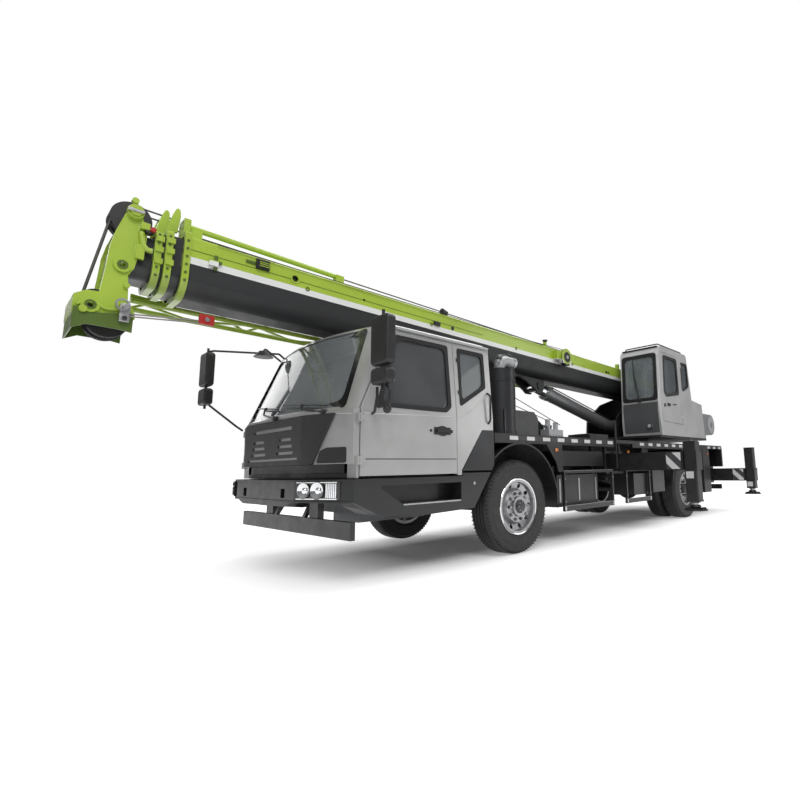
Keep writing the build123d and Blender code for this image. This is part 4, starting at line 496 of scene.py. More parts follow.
# ---------------------------------------------------------------- mesh making
class Piece:
    """A mesh under construction, made with bmesh operators, and the object that it becomes."""

    def __init__(self, name: str, body: str, finishes: Sequence[Tone]) -> None:
        """Starts an empty piece.

        Args:
            name: the object's name.
            body: the moving body that it rides on.
            finishes: the finishes of its material slots, in order.
        """
        self.name = name
        self.body = body
        self.finishes = list(finishes)
        self.mesh = bmesh.new()

    def join(self, part: bmesh.types.BMesh, slot: int, place: Optional[Matrix] = None) -> None:
        """Appends a finished part, frees it and gives its faces their slot.

        Args:
            part: the part's own mesh.
            slot: its material slot.
            place: a matrix that puts it in its place.
        """
        if place is not None:
            bmesh.ops.transform(part, matrix=place, verts=part.verts)
        for face in part.faces:
            face.material_index = slot
        data = bpy.data.meshes.new("part")
        part.to_mesh(data)
        part.free()
        self.mesh.from_mesh(data)
        bpy.data.meshes.remove(data)

    def box(self, low: Point, high: Point, slot: int = 0, bevel: float = 0.0, turn: Optional[Matrix] = None,
            segments: int = 2) -> None:
        """Adds a box between two corners.

        Args:
            low: the lowest corner.
            high: the highest corner.
            slot: its material slot.
            bevel: how far its edges are rounded.
            turn: a matrix applied about the box's own middle.
            segments: the steps of the rounding.
        """
        part = bmesh.new()
        size = Vector(high) - Vector(low)
        bmesh.ops.create_cube(part, size=1.0, matrix=Matrix.Diagonal((*size, 1.0)))
        if bevel:
            bmesh.ops.bevel(part, geom=part.edges[:], offset=min(bevel, 0.45 * min(size)), segments=segments,
                            profile=0.5, affect="EDGES", material=-1)
        place = Matrix.Translation((Vector(low) + Vector(high)) / 2)
        self.join(part, slot, place if turn is None else place @ turn)

    def box_low(self, centre: Point, half: Point, slot: int = 0, bevel: float = 0.0) -> None:
        """Adds a box that lies along the boom, by its middle and half sizes."""
        self.box(tuple(at - reach for at, reach in zip(centre, half)),
                 tuple(at + reach for at, reach in zip(centre, half)), slot, bevel, BOOM.tilt)

    def box_along(self, low: Pair, high: Pair, y_span: Pair, slot: int = 0, bevel: float = 0.0) -> None:
        """Adds a box that lies along the boom.

        Args:
            low: the lesser distance back from the nose, and the lesser height square to the boom.
            high: the greater of each.
            y_span: its two ends sideways.
            slot: its material slot.
            bevel: how far its edges are rounded.
        """
        centre = BOOM.back((low[0] + high[0]) / 2, sum(y_span) / 2, (low[1] + high[1]) / 2)
        half = ((high[0] - low[0]) / 2, abs(y_span[1] - y_span[0]) / 2, (high[1] - low[1]) / 2)
        self.box_low(centre, half, slot, bevel)

    def rod(self, start: Point, end: Point, radius: float, slot: int = 0, sides: int = 16,
            end_radius: Optional[float] = None, bevel: float = 0.0) -> None:
        """Adds a round bar, or a cone where the end has a radius of its own.

        Args:
            start: the middle of its first end.
            end: the middle of its last end.
            radius: the radius at the start.
            slot: its material slot.
            sides: how many flats go round it.
            end_radius: the radius at the end.
            bevel: how far its end edges are rounded.
        """
        part = bmesh.new()
        axis = Vector(end) - Vector(start)
        place = (Matrix.Translation((Vector(start) + Vector(end)) / 2)
                 @ axis.to_track_quat("Z", "Y").to_matrix().to_4x4())
        bmesh.ops.create_cone(part, cap_ends=True, segments=sides, radius1=radius,
                              radius2=radius if end_radius is None else end_radius, depth=axis.length)
        if bevel:
            rims = [edge for edge in part.edges if abs(edge.verts[0].co.z - edge.verts[1].co.z) < 1e-6]
            bmesh.ops.bevel(part, geom=rims, offset=min(bevel, 0.4 * axis.length), segments=2, profile=0.5,
                            affect="EDGES", material=-1)
        self.join(part, slot, place)

    def bolt(self, spot: Pair, y_span: Pair, *shape: float, **rest: float) -> None:
        """Adds a rod along Y at a spot in X and Z; the rest is what rod() takes."""
        self.rod((spot[0], y_span[0], spot[1]), (spot[0], y_span[1], spot[1]), *shape, **rest)

    def post(self, spot: Pair, z_span: Pair, *shape: float, **rest: float) -> None:
        """Adds an upright rod at a spot in X and Y; the rest is what rod() takes."""
        self.rod((*spot, z_span[0]), (*spot, z_span[1]), *shape, **rest)

    def pin(self, spot: Pair, y_span: Pair, *shape: float, **rest: float) -> None:
        """Adds a rod across the boom, by its distances back and up; the rest is what rod() takes."""
        self.rod(*(BOOM.back(spot[0], y, spot[1]) for y in y_span), *shape, **rest)

    def ball(self, centre: Point, radius: float, slot: int = 0, stretch: Point = (1.0, 1.0, 1.0)) -> None:
        """Adds a ball, or an egg where stretch differs from 1."""
        part = bmesh.new()
        bmesh.ops.create_uvsphere(part, u_segments=16, v_segments=10, radius=radius)
        self.join(part, slot, Matrix.Translation(centre) @ Matrix.Diagonal((*stretch, 1.0)))

    def ring(self, profile: Sequence[Pair], centre: Point, axis: Point, slot: int = 0,
             steps: int = 48, closed: bool = True) -> None:
        """Adds a turned part from a profile of (radius, distance along the axis).

        Args:
            profile: the section's corners.
            centre: the point where the distance along the axis is nil.
            axis: the direction of the axis.
            slot: its material slot.
            steps: how many steps go round it.
            closed: whether the profile's last point joins its first.
        """
        part = bmesh.new()
        verts = [part.verts.new((radius, 0.0, along)) for radius, along in profile]
        pairs = list(zip(verts, verts[1:])) + ([(verts[-1], verts[0])] if closed else [])
        edges = [part.edges.new(pair) for pair in pairs]
        bmesh.ops.spin(part, geom=verts + edges, cent=(0, 0, 0), axis=(0, 0, 1), angle=2 * math.pi,
                       steps=steps, use_merge=True, use_duplicate=False)
        self.join(part, slot, Matrix.Translation(centre) @ Vector(axis).to_track_quat("Z", "Y").to_matrix().to_4x4())

    def band(self, radii: Pair, half: float, centre: Point, axis: Point, slot: int = 0, steps: int = 48) -> None:
        """Adds a plain ring: its inner and outer radius, and half its width along the axis."""
        inner, outer = radii
        self.ring([(inner, -half), (outer, -half), (outer, half), (inner, half)], centre, axis, slot, steps)

    def plate(self, x_span: Pair, y: float, half: float, z_span: Pair, slot: int = 0, bevel: float = 0.0) -> None:
        """Adds a box by its spans in X and Z, and its middle and half width in Y."""
        self.box((x_span[0], y - half, z_span[0]), (x_span[1], y + half, z_span[1]), slot, bevel)

    def sheet(self, points: Sequence[Point], push: Point, slot: int = 0, bevel: float = 0.0) -> None:
        """Adds a flat outline pushed into a solid.

        Args:
            points: the outline's corners in order.
            push: how far, and which way, it is pushed.
            slot: its material slot.
            bevel: how far its edges are rounded.
        """
        part = bmesh.new()
        base = part.faces.new([part.verts.new(point) for point in points])
        made = bmesh.ops.extrude_face_region(part, geom=[base], use_keep_orig=True)
        moved = [item for item in made["geom"] if isinstance(item, bmesh.types.BMVert)]
        bmesh.ops.translate(part, vec=Vector(push), verts=moved)
        if bevel:
            bmesh.ops.bevel(part, geom=part.edges[:], offset=bevel, segments=2, profile=0.5, affect="EDGES",
                            material=-1,
                            clamp_overlap=True)
        self.join(part, slot)

    def tube(self, points: Sequence[Point], radius: float, slot: int = 0, sides: int = 10, smooth: int = 3) -> None:
        """Adds a round tube along a route whose corners are eased.

        Args:
            points: the route.
            radius: the tube's radius.
            slot: its material slot.
            sides: how many flats go round it.
            smooth: how many points each corner is eased with.
        """
        route = [Vector(points[0])]
        for back, here, ahead in zip(points, points[1:], points[2:]):
            into, out = Vector(back) - Vector(here), Vector(ahead) - Vector(here)
            reach = 0.4 * min(into.length, out.length, 8 * radius)
            first, last = Vector(here) + into.normalized() * reach, Vector(here) + out.normalized() * reach
            for step in range(smooth + 1):
                share = step / smooth
                route.append(first.lerp(Vector(here), share).lerp(Vector(here).lerp(last, share), share))
        route.append(Vector(points[-1]))
        part = bmesh.new()
        rings = []
        for index, here in enumerate(route):
            ahead = route[min(index + 1, len(route) - 1)] - route[max(index - 1, 0)]
            place = Matrix.Translation(here) @ ahead.to_track_quat("Z", "Y").to_matrix().to_4x4()
            made = bmesh.ops.create_circle(part, cap_ends=False, segments=sides, radius=radius, matrix=place)
            rings.append(list(dict.fromkeys(edge for vert in made["verts"] for edge in vert.link_edges)))
        for first, last in zip(rings, rings[1:]):
            bmesh.ops.bridge_loops(part, edges=first + last)
        for end in (rings[0], rings[-1]):
            bmesh.ops.contextual_create(part, geom=end)
        self.join(part, slot)

    def copy_turned(self, count: int, centre: Point, axis: Point, since: int) -> None:
        """Repeats the faces added since a count round an axis.

        Args:
            count: how many there are in the end.
            centre: a point on the axis.
            axis: the axis.
            since: the face count before the first of them.
        """
        self.mesh.faces.ensure_lookup_table()
        first = self.mesh.faces[since:]
        for step in range(1, count):
            made = bmesh.ops.duplicate(self.mesh, geom=first)
            verts = [item for item in made["geom"] if isinstance(item, bmesh.types.BMVert)]
            bmesh.ops.rotate(self.mesh, cent=centre, verts=verts,
                             matrix=Matrix.Rotation(2 * math.pi * step / count, 3, Vector(axis)))

    @property
    def count(self) -> int:
        """How many faces there are so far."""
        return len(self.mesh.faces)

    def done(self, replaces: Sequence[str] = (), sharp: float = 32.0,
             slot_name: Optional[str] = None) -> bpy.types.Object:
        """Closes the mesh and hands the piece to the frame.

        Args:
            replaces: the CAD nodes that it stands for.
            sharp: edges sharper than this many degrees stay crisp.
            slot_name: not used.

        Returns:
            The finished object.
        """
        bmesh.ops.remove_doubles(self.mesh, verts=self.mesh.verts, dist=1e-5)
        bmesh.ops.recalc_face_normals(self.mesh, faces=self.mesh.faces)
        return place_mesh(self.mesh, self.name, self.body, self.finishes, replaces, sharp)


def place_mesh(mesh: bmesh.types.BMesh, name: str, body: str, finishes: Sequence[Tone],
               replaces: Sequence[str] = (), sharp: float = 32.0) -> bpy.types.Object:
    """Turns a bmesh into an object on its body, shaded smooth up to sharp edges."""
    data = bpy.data.meshes.new(name)
    for face in mesh.faces:
        face.smooth = True
    for edge in mesh.edges:
        if len(edge.link_faces) == 2 and edge.calc_face_angle(0.0) > math.radians(sharp):
            edge.smooth = False
    mesh.to_mesh(data)
    mesh.free()
    for tone in finishes:
        data.materials.append(tone.material)
    made = bpy.data.objects.new(name, data)
    bpy.context.scene.collection.objects.link(made)
    flatten = made.modifiers.new("weighted_normals", "WEIGHTED_NORMAL")
    flatten.keep_sharp = True
    flatten.weight = 100
    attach(made, body)
    if replaces:
        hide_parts(*replaces)
    LOG.info("%s: %d faces on %s", name, len(data.polygons), body)
    return made


def islands(mesh: bmesh.types.BMesh) -> list[bmesh.types.BMesh]:
    """Returns a copy of each separate solid of a mesh, in an order that is the same on each run."""
    left, made = dict.fromkeys(mesh.faces), []
    while left:
        group = [next(iter(left))]
        del left[group[0]]
        for face in group:
            near = dict.fromkeys(other for edge in face.edges for other in edge.link_faces if other in left)
            for other in near:
                del left[other]
            group += near
        copy = bmesh.new()
        verts = {vert: copy.verts.new(vert.co) for vert in dict.fromkeys(vert for face in group for vert in face.verts)}
        for face in group:
            copy.faces.new([verts[vert] for vert in face.verts])
        copy.normal_update()
        made.append(copy)
    return made


def round_edges(solid: bmesh.types.BMesh, width: float, segments: int) -> bmesh.types.BMesh:
    """Returns a solid with its sharp edges rounded as far as its shape allows.

    Long edges are tried with the short ones, and then by themselves. A rounding that spreads outside
    the solid's box, or adds area, has gone wrong and is thrown away.
    """
    area = sum(face.calc_area() for face in solid.faces)
    low = [min(vert.co[i] for vert in solid.verts) - 2e-4 for i in range(3)]
    high = [max(vert.co[i] for vert in solid.verts) + 2e-4 for i in range(3)]
    for least_angle, least_length, share in ((28, 1.5, 1.0), (35, 4.0, 0.7), (60, 10.0, 0.5)):
        tried = solid.copy()
        edges = [edge for edge in tried.edges if len(edge.link_faces) == 2
                 and edge.calc_face_angle(0.0) > math.radians(least_angle)
                 and edge.calc_length() > width * least_length]
        bmesh.ops.bevel(tried, geom=edges, offset=width * share, segments=segments, profile=0.5, affect="EDGES",
                        material=-1, clamp_overlap=True)
        inside = all(low[i] <= vert.co[i] <= high[i] for vert in tried.verts for i in range(3))
        if inside and sum(face.calc_area() for face in tried.faces) < area * 1.004:
            solid.free()
            return tried
        tried.free()
    return solid


def soften(node: str, width: float, tones: Sequence[Tone], choose: Optional[Callable[[Vector, Vector], int]] = None,
           segments: int = 2) -> bpy.types.Object:
    """Makes a copy of a CAD node with rounded edges stand for it.

    Args:
        node: the CAD node.
        width: how wide the rounding is.
        tones: the finishes of its slots.
        choose: gives a face's slot from its middle and its normal.
        segments: the steps of the rounding.

    Returns:
        The rounded copy.
    """
    source = frame["nodes"][node]
    whole = bmesh.new()
    whole.from_mesh(source.data)
    bmesh.ops.remove_doubles(whole, verts=whole.verts, dist=2e-5)
    bmesh.ops.dissolve_limit(whole, angle_limit=math.radians(1.0), use_dissolve_boundaries=False,
                             verts=whole.verts, edges=whole.edges, delimit={"NORMAL"})
    mesh = bmesh.new()
    for solid in islands(whole):
        done = round_edges(solid, width, segments)
        data = bpy.data.meshes.new("solid")
        done.to_mesh(data)
        done.free()
        mesh.from_mesh(data)
        bpy.data.meshes.remove(data)
    whole.free()
    mesh.normal_update()
    if choose:
        for face in mesh.faces:
            face.material_index = choose(face.calc_center_median(), face.normal)
    return place_mesh(mesh, f"soft_{node}", source["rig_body"], tones, [node], 40.0)


def dress(nodes: Iterable[str], tone: Tone) -> None:
    """Gives CAD nodes one finish."""
    for node in nodes:
        data = frame["nodes"][node].data
        data.materials.clear()
        data.materials.append(tone.material)


# ---------------------------------------------------------------- the stage
@dataclass
class Studio:
    """White floor, soft lamps and the camera."""

    eye: Point = (5.673, 4.841, 0.942)
    yaw: float = 42.359
    pitch: float = 8.216
    roll: float = -1.143
    lens: float = 21.866
    shift: Pair = (-0.12925, -0.00175)
    floor_reach: float = 60.0

    def build(self) -> None:
        """Makes the floor, the lamps, the world and the camera."""
        self._floor()
        self._world()
        self._lamps()
        self._camera()
        bpy.context.scene.view_settings.view_transform = "Standard"

    def _floor(self) -> None:
        """Makes the pale floor, which keeps the cast shadow and has a painted shadow where its glow is lowered beneath
        the carrier.
        """
        graph = Graph("studio_floor")
        rays = graph.node("LightPath", out="Is Camera Ray")
        glossy = graph.node("LightPath", out="Is Glossy Ray")
        through = graph.node("LightPath", out="Is Transmission Ray")
        seen = graph.node("Math", {"operation": "ADD", "use_clamp": True}, {0: rays + glossy, 1: through})
        # Painted shadow: a soft patch beneath the carrier where the floor's glow is lowered, deepening the cast shadow.
        along = graph.node("Math", {"operation": "ABSOLUTE"}, {0: graph.x + 0.9})
        across = graph.node("Math", {"operation": "ABSOLUTE"}, {0: graph.y - 0.1})
        under = graph.spread(along, 3.2, 5.0, 1.0, 0.0) * graph.spread(across, 0.5, 1.5, 1.0, 0.0)
        reach = graph.node("VectorMath", {"operation": "LENGTH"}, {0: graph.position}, out="Value")
        # The glow drops by the patch beneath the carrier, which paints the shadow there.
        glow = graph.spread(reach, 6.0, 16.0, 0.62, 1.0) - under * 0.56
        speck = graph.spread(graph.noise(2.0, 2.0), 0.3, 0.7, 0.0, 1.0)
        tone = graph.blend(speck, (0.74, 0.74, 0.745), (0.76, 0.76, 0.765))
        matt = graph.node("BsdfDiffuse", {}, {"Color": tone}, out="BSDF")
        light = graph.node("Emission", {}, {"Color": (1.0, 1.0, 1.0), "Strength": seen * glow}, out="Emission")
        graph.close(graph.node("AddShader", {}, {0: matt, 1: light}, out="Shader"))
        mesh = bmesh.new()
        bmesh.ops.create_circle(mesh, cap_ends=True, segments=64, radius=self.floor_reach)
        data = bpy.data.meshes.new("studio_floor")
        mesh.to_mesh(data)
        mesh.free()
        data.materials.append(graph.material)
        floor = bpy.data.objects.new("studio_floor", data)
        bpy.context.scene.collection.objects.link(floor)

    def _world(self) -> None:
        """Makes the sky: soft white light, and plain white where it is seen."""
        world = bpy.data.worlds.new("studio_world")
        bpy.context.scene.world = world
        graph = Graph("studio_world", world)
        rays = [graph.node("LightPath", out=name) for name in ("Is Camera Ray", "Is Transmission Ray")]
        seen = graph.node("Math", {"operation": "MAXIMUM"}, dict(enumerate(rays)))
        sky = graph.node("ValToRGB", {"stops": ((0.0, (0.35, 0.35, 0.3535)), (0.9, (1.0, 1.0, 1.01)))}, {0: graph.z})
        soft = graph.node("Background", {}, {"Strength": 0.45, "Color": sky})
        white = graph.node("Background", {}, {"Color": (1.0, 1.0, 1.0)})
        graph.node("OutputWorld", {}, {0: graph.node("MixShader", {}, {0: seen, 1: soft, 2: white})})

    def _lamps(self) -> None:
        """Hangs three large soft lamps round the crane."""
        middle = Vector((0.0, 0.0, 1.2))
        for name, place, size, power in (
                ("key", (7.0, 9.0, 10.0), 7.0, 720.0), ("top", (-3.0, 1.0, 11.0), 9.0, 520.0),
                ("fill", (-9.0, 10.0, 4.0), 6.0, 160.0), ("back", (3.0, -10.0, 6.0), 6.0, 200.0)):
            lamp = bpy.data.lights.new(name, "AREA")
            lamp.shape = "DISK"
            lamp.size = size
            lamp.energy = power
            made = bpy.data.objects.new(name, lamp)
            made.location = place
            made.rotation_euler = (middle - Vector(place)).to_track_quat("-Z", "Y").to_euler()
            bpy.context.scene.collection.objects.link(made)

    def _camera(self) -> None:
        """Puts the camera low before the crane's left front corner."""
        yaw, pitch, roll = (math.radians(angle) for angle in (self.yaw, self.pitch, self.roll))
        ahead = Vector((-math.cos(yaw) * math.cos(pitch), -math.sin(yaw) * math.cos(pitch), math.sin(pitch)))
        level = ahead.cross(Vector((0, 0, 1))).normalized()
        upright = level.cross(ahead)
        right = level * math.cos(roll) + upright * math.sin(roll)
        up = upright * math.cos(roll) - level * math.sin(roll)
        data = bpy.data.cameras.new("camera")
        data.lens = self.lens
        data.sensor_width = 36.0
        data.shift_x, data.shift_y = self.shift
        made = bpy.data.objects.new("camera", data)
        rows = [(right[i], up[i], -ahead[i], self.eye[i]) for i in range(3)]
        made.matrix_world = Matrix((*rows, (0.0, 0.0, 0.0, 1.0)))
        bpy.context.scene.collection.objects.link(made)
        bpy.context.scene.camera = made


# ---------------------------------------------------------------- places taken from the frame
@dataclass(frozen=True)
class CabShape:
    """The carrier cab's outer faces, as functions of place.

    The front is an arc in plan at each height, and the sides lean inwards above the belt.
    """

    belt: float = 1.470
    top: float = 2.250
    half: float = 1.235
    lean: float = 0.065
    nose: Pair = (3.690, 3.400)
    corner_x: Pair = (3.525, 3.215)
    corner_y: Pair = (1.175, 1.090)

    def side(self, sign: int, lift: float) -> Callable[[float, float], Point]:
        """Returns the map from (x, z) to a point lift metres outside the cab's side."""
        def place(x: float, z: float) -> Point:
            share = max(0.0, z - self.belt) / (self.top - self.belt)
            return (x, sign * (self.half - self.lean * share + lift), z)
        return place

    def front(self, lift: float) -> Callable[[float, float], Point]:
        """Returns the map from (y, z) to a point lift metres before the cab's front."""
        def place(y: float, z: float) -> Point:
            share = (z - self.belt) / (self.top - self.belt)
            spots = []
            for nose, corner_x, corner_y in zip(self.nose, self.corner_x, self.corner_y):
                sag = nose - corner_x
                radius = (corner_y ** 2 + sag ** 2) / (2 * sag)
                spots.append(nose - radius + math.sqrt(radius ** 2 - y ** 2))
            return (spots[0] + (spots[1] - spots[0]) * share + lift, y, z)
        return place

    def nose_plane(self, lift: float) -> Callable[[float, float], Point]:
        """Returns the map from (y, z) to a point before the lower nose, whose corners are cut off."""
        def place(y: float, z: float) -> Point:
            back = max(0.0, abs(y) - 0.620) * (3.700 - 3.530) / (1.190 - 0.620)
            return (3.700 - back + lift, y, z)
        return place


@dataclass(frozen=True)
class BoomFrame:
    """The stowed boom's own directions: along it, sideways and square to it."""

    pivot: Point = (-4.33, 0.0, 2.54)
    angle: float = math.radians(1.1)
    nose_up: float = -0.575
    half_length: float = 5.27

    @property
    def nose(self) -> float:
        """Distance along the boom from its pivot to its nose."""
        return (self.half_length - self.pivot[0] + self.nose_up * math.sin(self.angle)) / math.cos(self.angle)

    def at(self, along: float, y: float, up: float) -> Point:
        """Returns the point at a distance along the boom, sideways and square to it."""
        return (self.pivot[0] + along * math.cos(self.angle) - up * math.sin(self.angle), y,
                self.pivot[2] + along * math.sin(self.angle) + up * math.cos(self.angle))

    def back(self, back: float, y: float, up: float) -> Point:
        """Returns the point at a distance back from the boom's nose."""
        return self.at(self.nose - back, y, up)

    def along(self, point: Vector) -> float:
        """Returns how far a point lies along the boom."""
        return ((point.x - self.pivot[0]) * math.cos(self.angle) + (point.z - self.pivot[2]) * math.sin(self.angle))

    def up(self, point: Vector) -> float:
        """Returns how far a point lies square to the boom."""
        return ((point.z - self.pivot[2]) * math.cos(self.angle) - (point.x - self.pivot[0]) * math.sin(self.angle))

    @property
    def tilt(self) -> Matrix:
        """The turn that lays a box along the boom."""
        return Matrix.Rotation(-self.angle, 4, "Y")


CAB = CabShape()
BOOM = BoomFrame()


def rounded(outline: Sequence[Pair], radius: float, steps: int = 4) -> list[Pair]:
    """Returns a closed outline with its corners rounded.

    Args:
        outline: the corners in order.
        radius: how far along each side the rounding starts.
        steps: how many steps each corner takes.
    """
    made = []
    count = len(outline)
    for index in range(count):
        back, here, ahead = (Vector(outline[(index + step) % count]) for step in (-1, 0, 1))
        reach = min(radius, 0.45 * (back - here).length, 0.45 * (ahead - here).length)
        first = here + (back - here).normalized() * reach
        last = here + (ahead - here).normalized() * reach
        for step in range(steps + 1):
            share = step / steps
            spot = first.lerp(here, share).lerp(here.lerp(last, share), share)
            made.append((spot.x, spot.y))
    return made


def inset(outline: Sequence[Pair], width: float) -> list[Pair]:
    """Returns a closed outline moved inwards by width, or outwards where width is below nil."""
    count = len(outline)
    area = sum(outline[i][0] * outline[(i + 1) % count][1] - outline[(i + 1) % count][0] * outline[i][1]
               for i in range(count))
    turn = math.copysign(1.0, area)
    made = []
    for index in range(count):
        back, here, ahead = (Vector(outline[(index + step) % count]) for step in (-1, 0, 1))
        first, last = (here - back).normalized(), (ahead - here).normalized()
        across = Vector((-first.y - last.y, first.x + last.x)) * turn
        spot = here + across * (width / (1.0 + first.dot(last)))
        made.append((spot.x, spot.y))
    return made


def frame_strip(piece: Piece, outer: Sequence[Pair], inner: Sequence[Pair],
                over: Callable[[float, float], Point], under: Callable[[float, float], Point], slot: int = 0) -> None:
    """Adds a closed strip between two outlines of as many points that lie on a face.

    Args:
        piece: the piece that gets it.
        outer: the strip's outer edge in the face's own two directions.
        inner: its inner edge.
        over: the map to the strip's outer face.
        under: the map to the strip's back.
        slot: its material slot.
    """
    part = bmesh.new()
    loops = []
    for line, place in ((outer, over), (inner, over), (inner, under), (outer, under)):
        verts = [part.verts.new(place(*spot)) for spot in line]
        loops.append([part.edges.new(pair) for pair in zip(verts, verts[1:] + verts[:1])])
    for edges, following in zip(loops, loops[1:] + loops[:1]):
        bmesh.ops.bridge_loops(part, edges=edges + following)
    piece.join(part, slot)


def patch(piece: Piece, outline: Sequence[Pair], over: Callable[[float, float], Point],
          under: Callable[[float, float], Point], slot: int = 0) -> None:
    """Adds a thin plate with the given outline that lies on a face."""
    part = bmesh.new()
    top = [part.verts.new(over(*spot)) for spot in outline]
    low = [part.verts.new(under(*spot)) for spot in outline]
    part.faces.new(top)
    part.faces.new(low[::-1])
    for index in range(len(outline)):
        ahead = (index + 1) % len(outline)
        part.faces.new((top[index], low[index], low[ahead], top[ahead]))
    piece.join(part, slot)


# ---------------------------------------------------------------- sub-assemblies
@dataclass
class RoundedPanels:
    """Pressed and welded CAD parts, given the rounded edges of real sheet metal."""

    sheet_edge: float = 0.006
    casting_edge: float = 0.004
    collar: float = 0.052
    tubes: dict[str, float] = field(default_factory=lambda: {
        "boom_base": 0.639, "boom_section_2": 0.518, "boom_section_3": 0.448})

    def build(self) -> None:
        """Makes a rounded copy of each chosen node."""
        for node in ("cab_front_wall", "cab_sides", "cab_roof", "cab_rear_wall"):
            soften(node, self.sheet_edge, [Tone.SILVER])
        for side in SIDES:
            soften(f"cab_door_{side}", self.sheet_edge, [Tone.SILVER, Tone.TRIM], self._door)
        soften("operator_cab", self.sheet_edge, [Tone.SILVER_LIGHT, Tone.CHARCOAL, Tone.TRIM], self._operator)
        soften("operator_door", self.sheet_edge, [Tone.SILVER_LIGHT, Tone.TRIM], self._operator_door)
        for node in ("front_bumper", "side_equipment", "air_intake"):
            soften(node, self.casting_edge, [Tone.CHARCOAL, Tone.TREAD_PLATE, Tone.LIGHT_GREY], self._equipment)
        for node in self.tubes:
            soften(node, self.casting_edge, [Tone.BOOM if node == "boom_base" else Tone.CHARCOAL, Tone.LIME],
                   lambda middle, normal, node=node: self._tube(middle, node))
        soften("boom_head", self.casting_edge, [Tone.LIME, Tone.CHARCOAL, Tone.STEEL], self._head)
        soften("stowed_jib", self.casting_edge, [Tone.LIME])
        for node in ("mirror_left", "mirror_right", "grille"):
            soften(node, self.casting_edge, [Tone.TRIM])
        soften("lamps", 0.003, [Tone.BLACK_GLOSS, Tone.RED_LENS, Tone.AMBER],
               lambda middle, normal: 0 if middle.x > 3.0 else 1 if middle.x < -5.0 else 2)
        for side in SIDES:
            for end in ("front", "rear"):
                soften(f"outrigger_beam_{end}_{side}", 0.003, [Tone.CHASSIS])
                soften(f"outrigger_jack_{end}_{side}", 0.002, [Tone.STEEL, Tone.CHASSIS], self._jack)
        soften("counterweight", 0.012, [Tone.GREY_CASTING])

    @staticmethod
    def _door(middle: Vector, normal: Vector) -> int:
        """Chooses black plastic for a carrier door's handle."""
        return 1 if abs(middle.y) > 1.2365 and middle.x < 2.8 else 0

    @staticmethod
    def _operator(middle: Vector, normal: Vector) -> int:
        """Chooses charcoal for the operator's cab roof rail and black for the frame inside."""
        if middle.z > 3.083:
            return 1
        return 2 if 0.49 < middle.y < 1.14 and -3.74 < middle.x < -2.43 and 1.52 < middle.z < 3.02 else 0

    @staticmethod
    def _operator_door(middle: Vector, normal: Vector) -> int:
        """Chooses black for the operator's door handle and inside."""
        return 1 if middle.y > 1.1915 and middle.x > -2.85 or middle.y < 1.1475 else 0

    @staticmethod
    def _equipment(middle: Vector, normal: Vector) -> int:
        """Chooses tread plate for the steps and light grey for the deck equipment's faces."""
        if normal.z > 0.9 and 2.2 < middle.x < 3.1 and middle.z < 0.70 and abs(middle.y) > 1.0:
            return 1
        return 2 if 0.32 < middle.x < 0.65 and 0.69 < middle.y < 1.05 and middle.z > 1.335 else 0

    def _tube(self, middle: Vector, node: str) -> int:
        """Chooses lime for a boom section's collar and ears."""
        ahead = BOOM.along(middle) > BOOM.nose - self.tubes[node] - self.collar
        return 1 if ahead or (node != "boom_base" and BOOM.up(middle) > 0.26) else 0

    @staticmethod
    def _head(middle: Vector, normal: Vector) -> int:
        """Chooses charcoal for the innermost tube and lime for the rest."""
        if BOOM.along(middle) < BOOM.nose - 0.402:
            return 1
        return 0

    @staticmethod
    def _jack(middle: Vector, normal: Vector) -> int:
        """Chooses black paint for a jack's foot."""
        return 1 if middle.z < 0.43 else 0


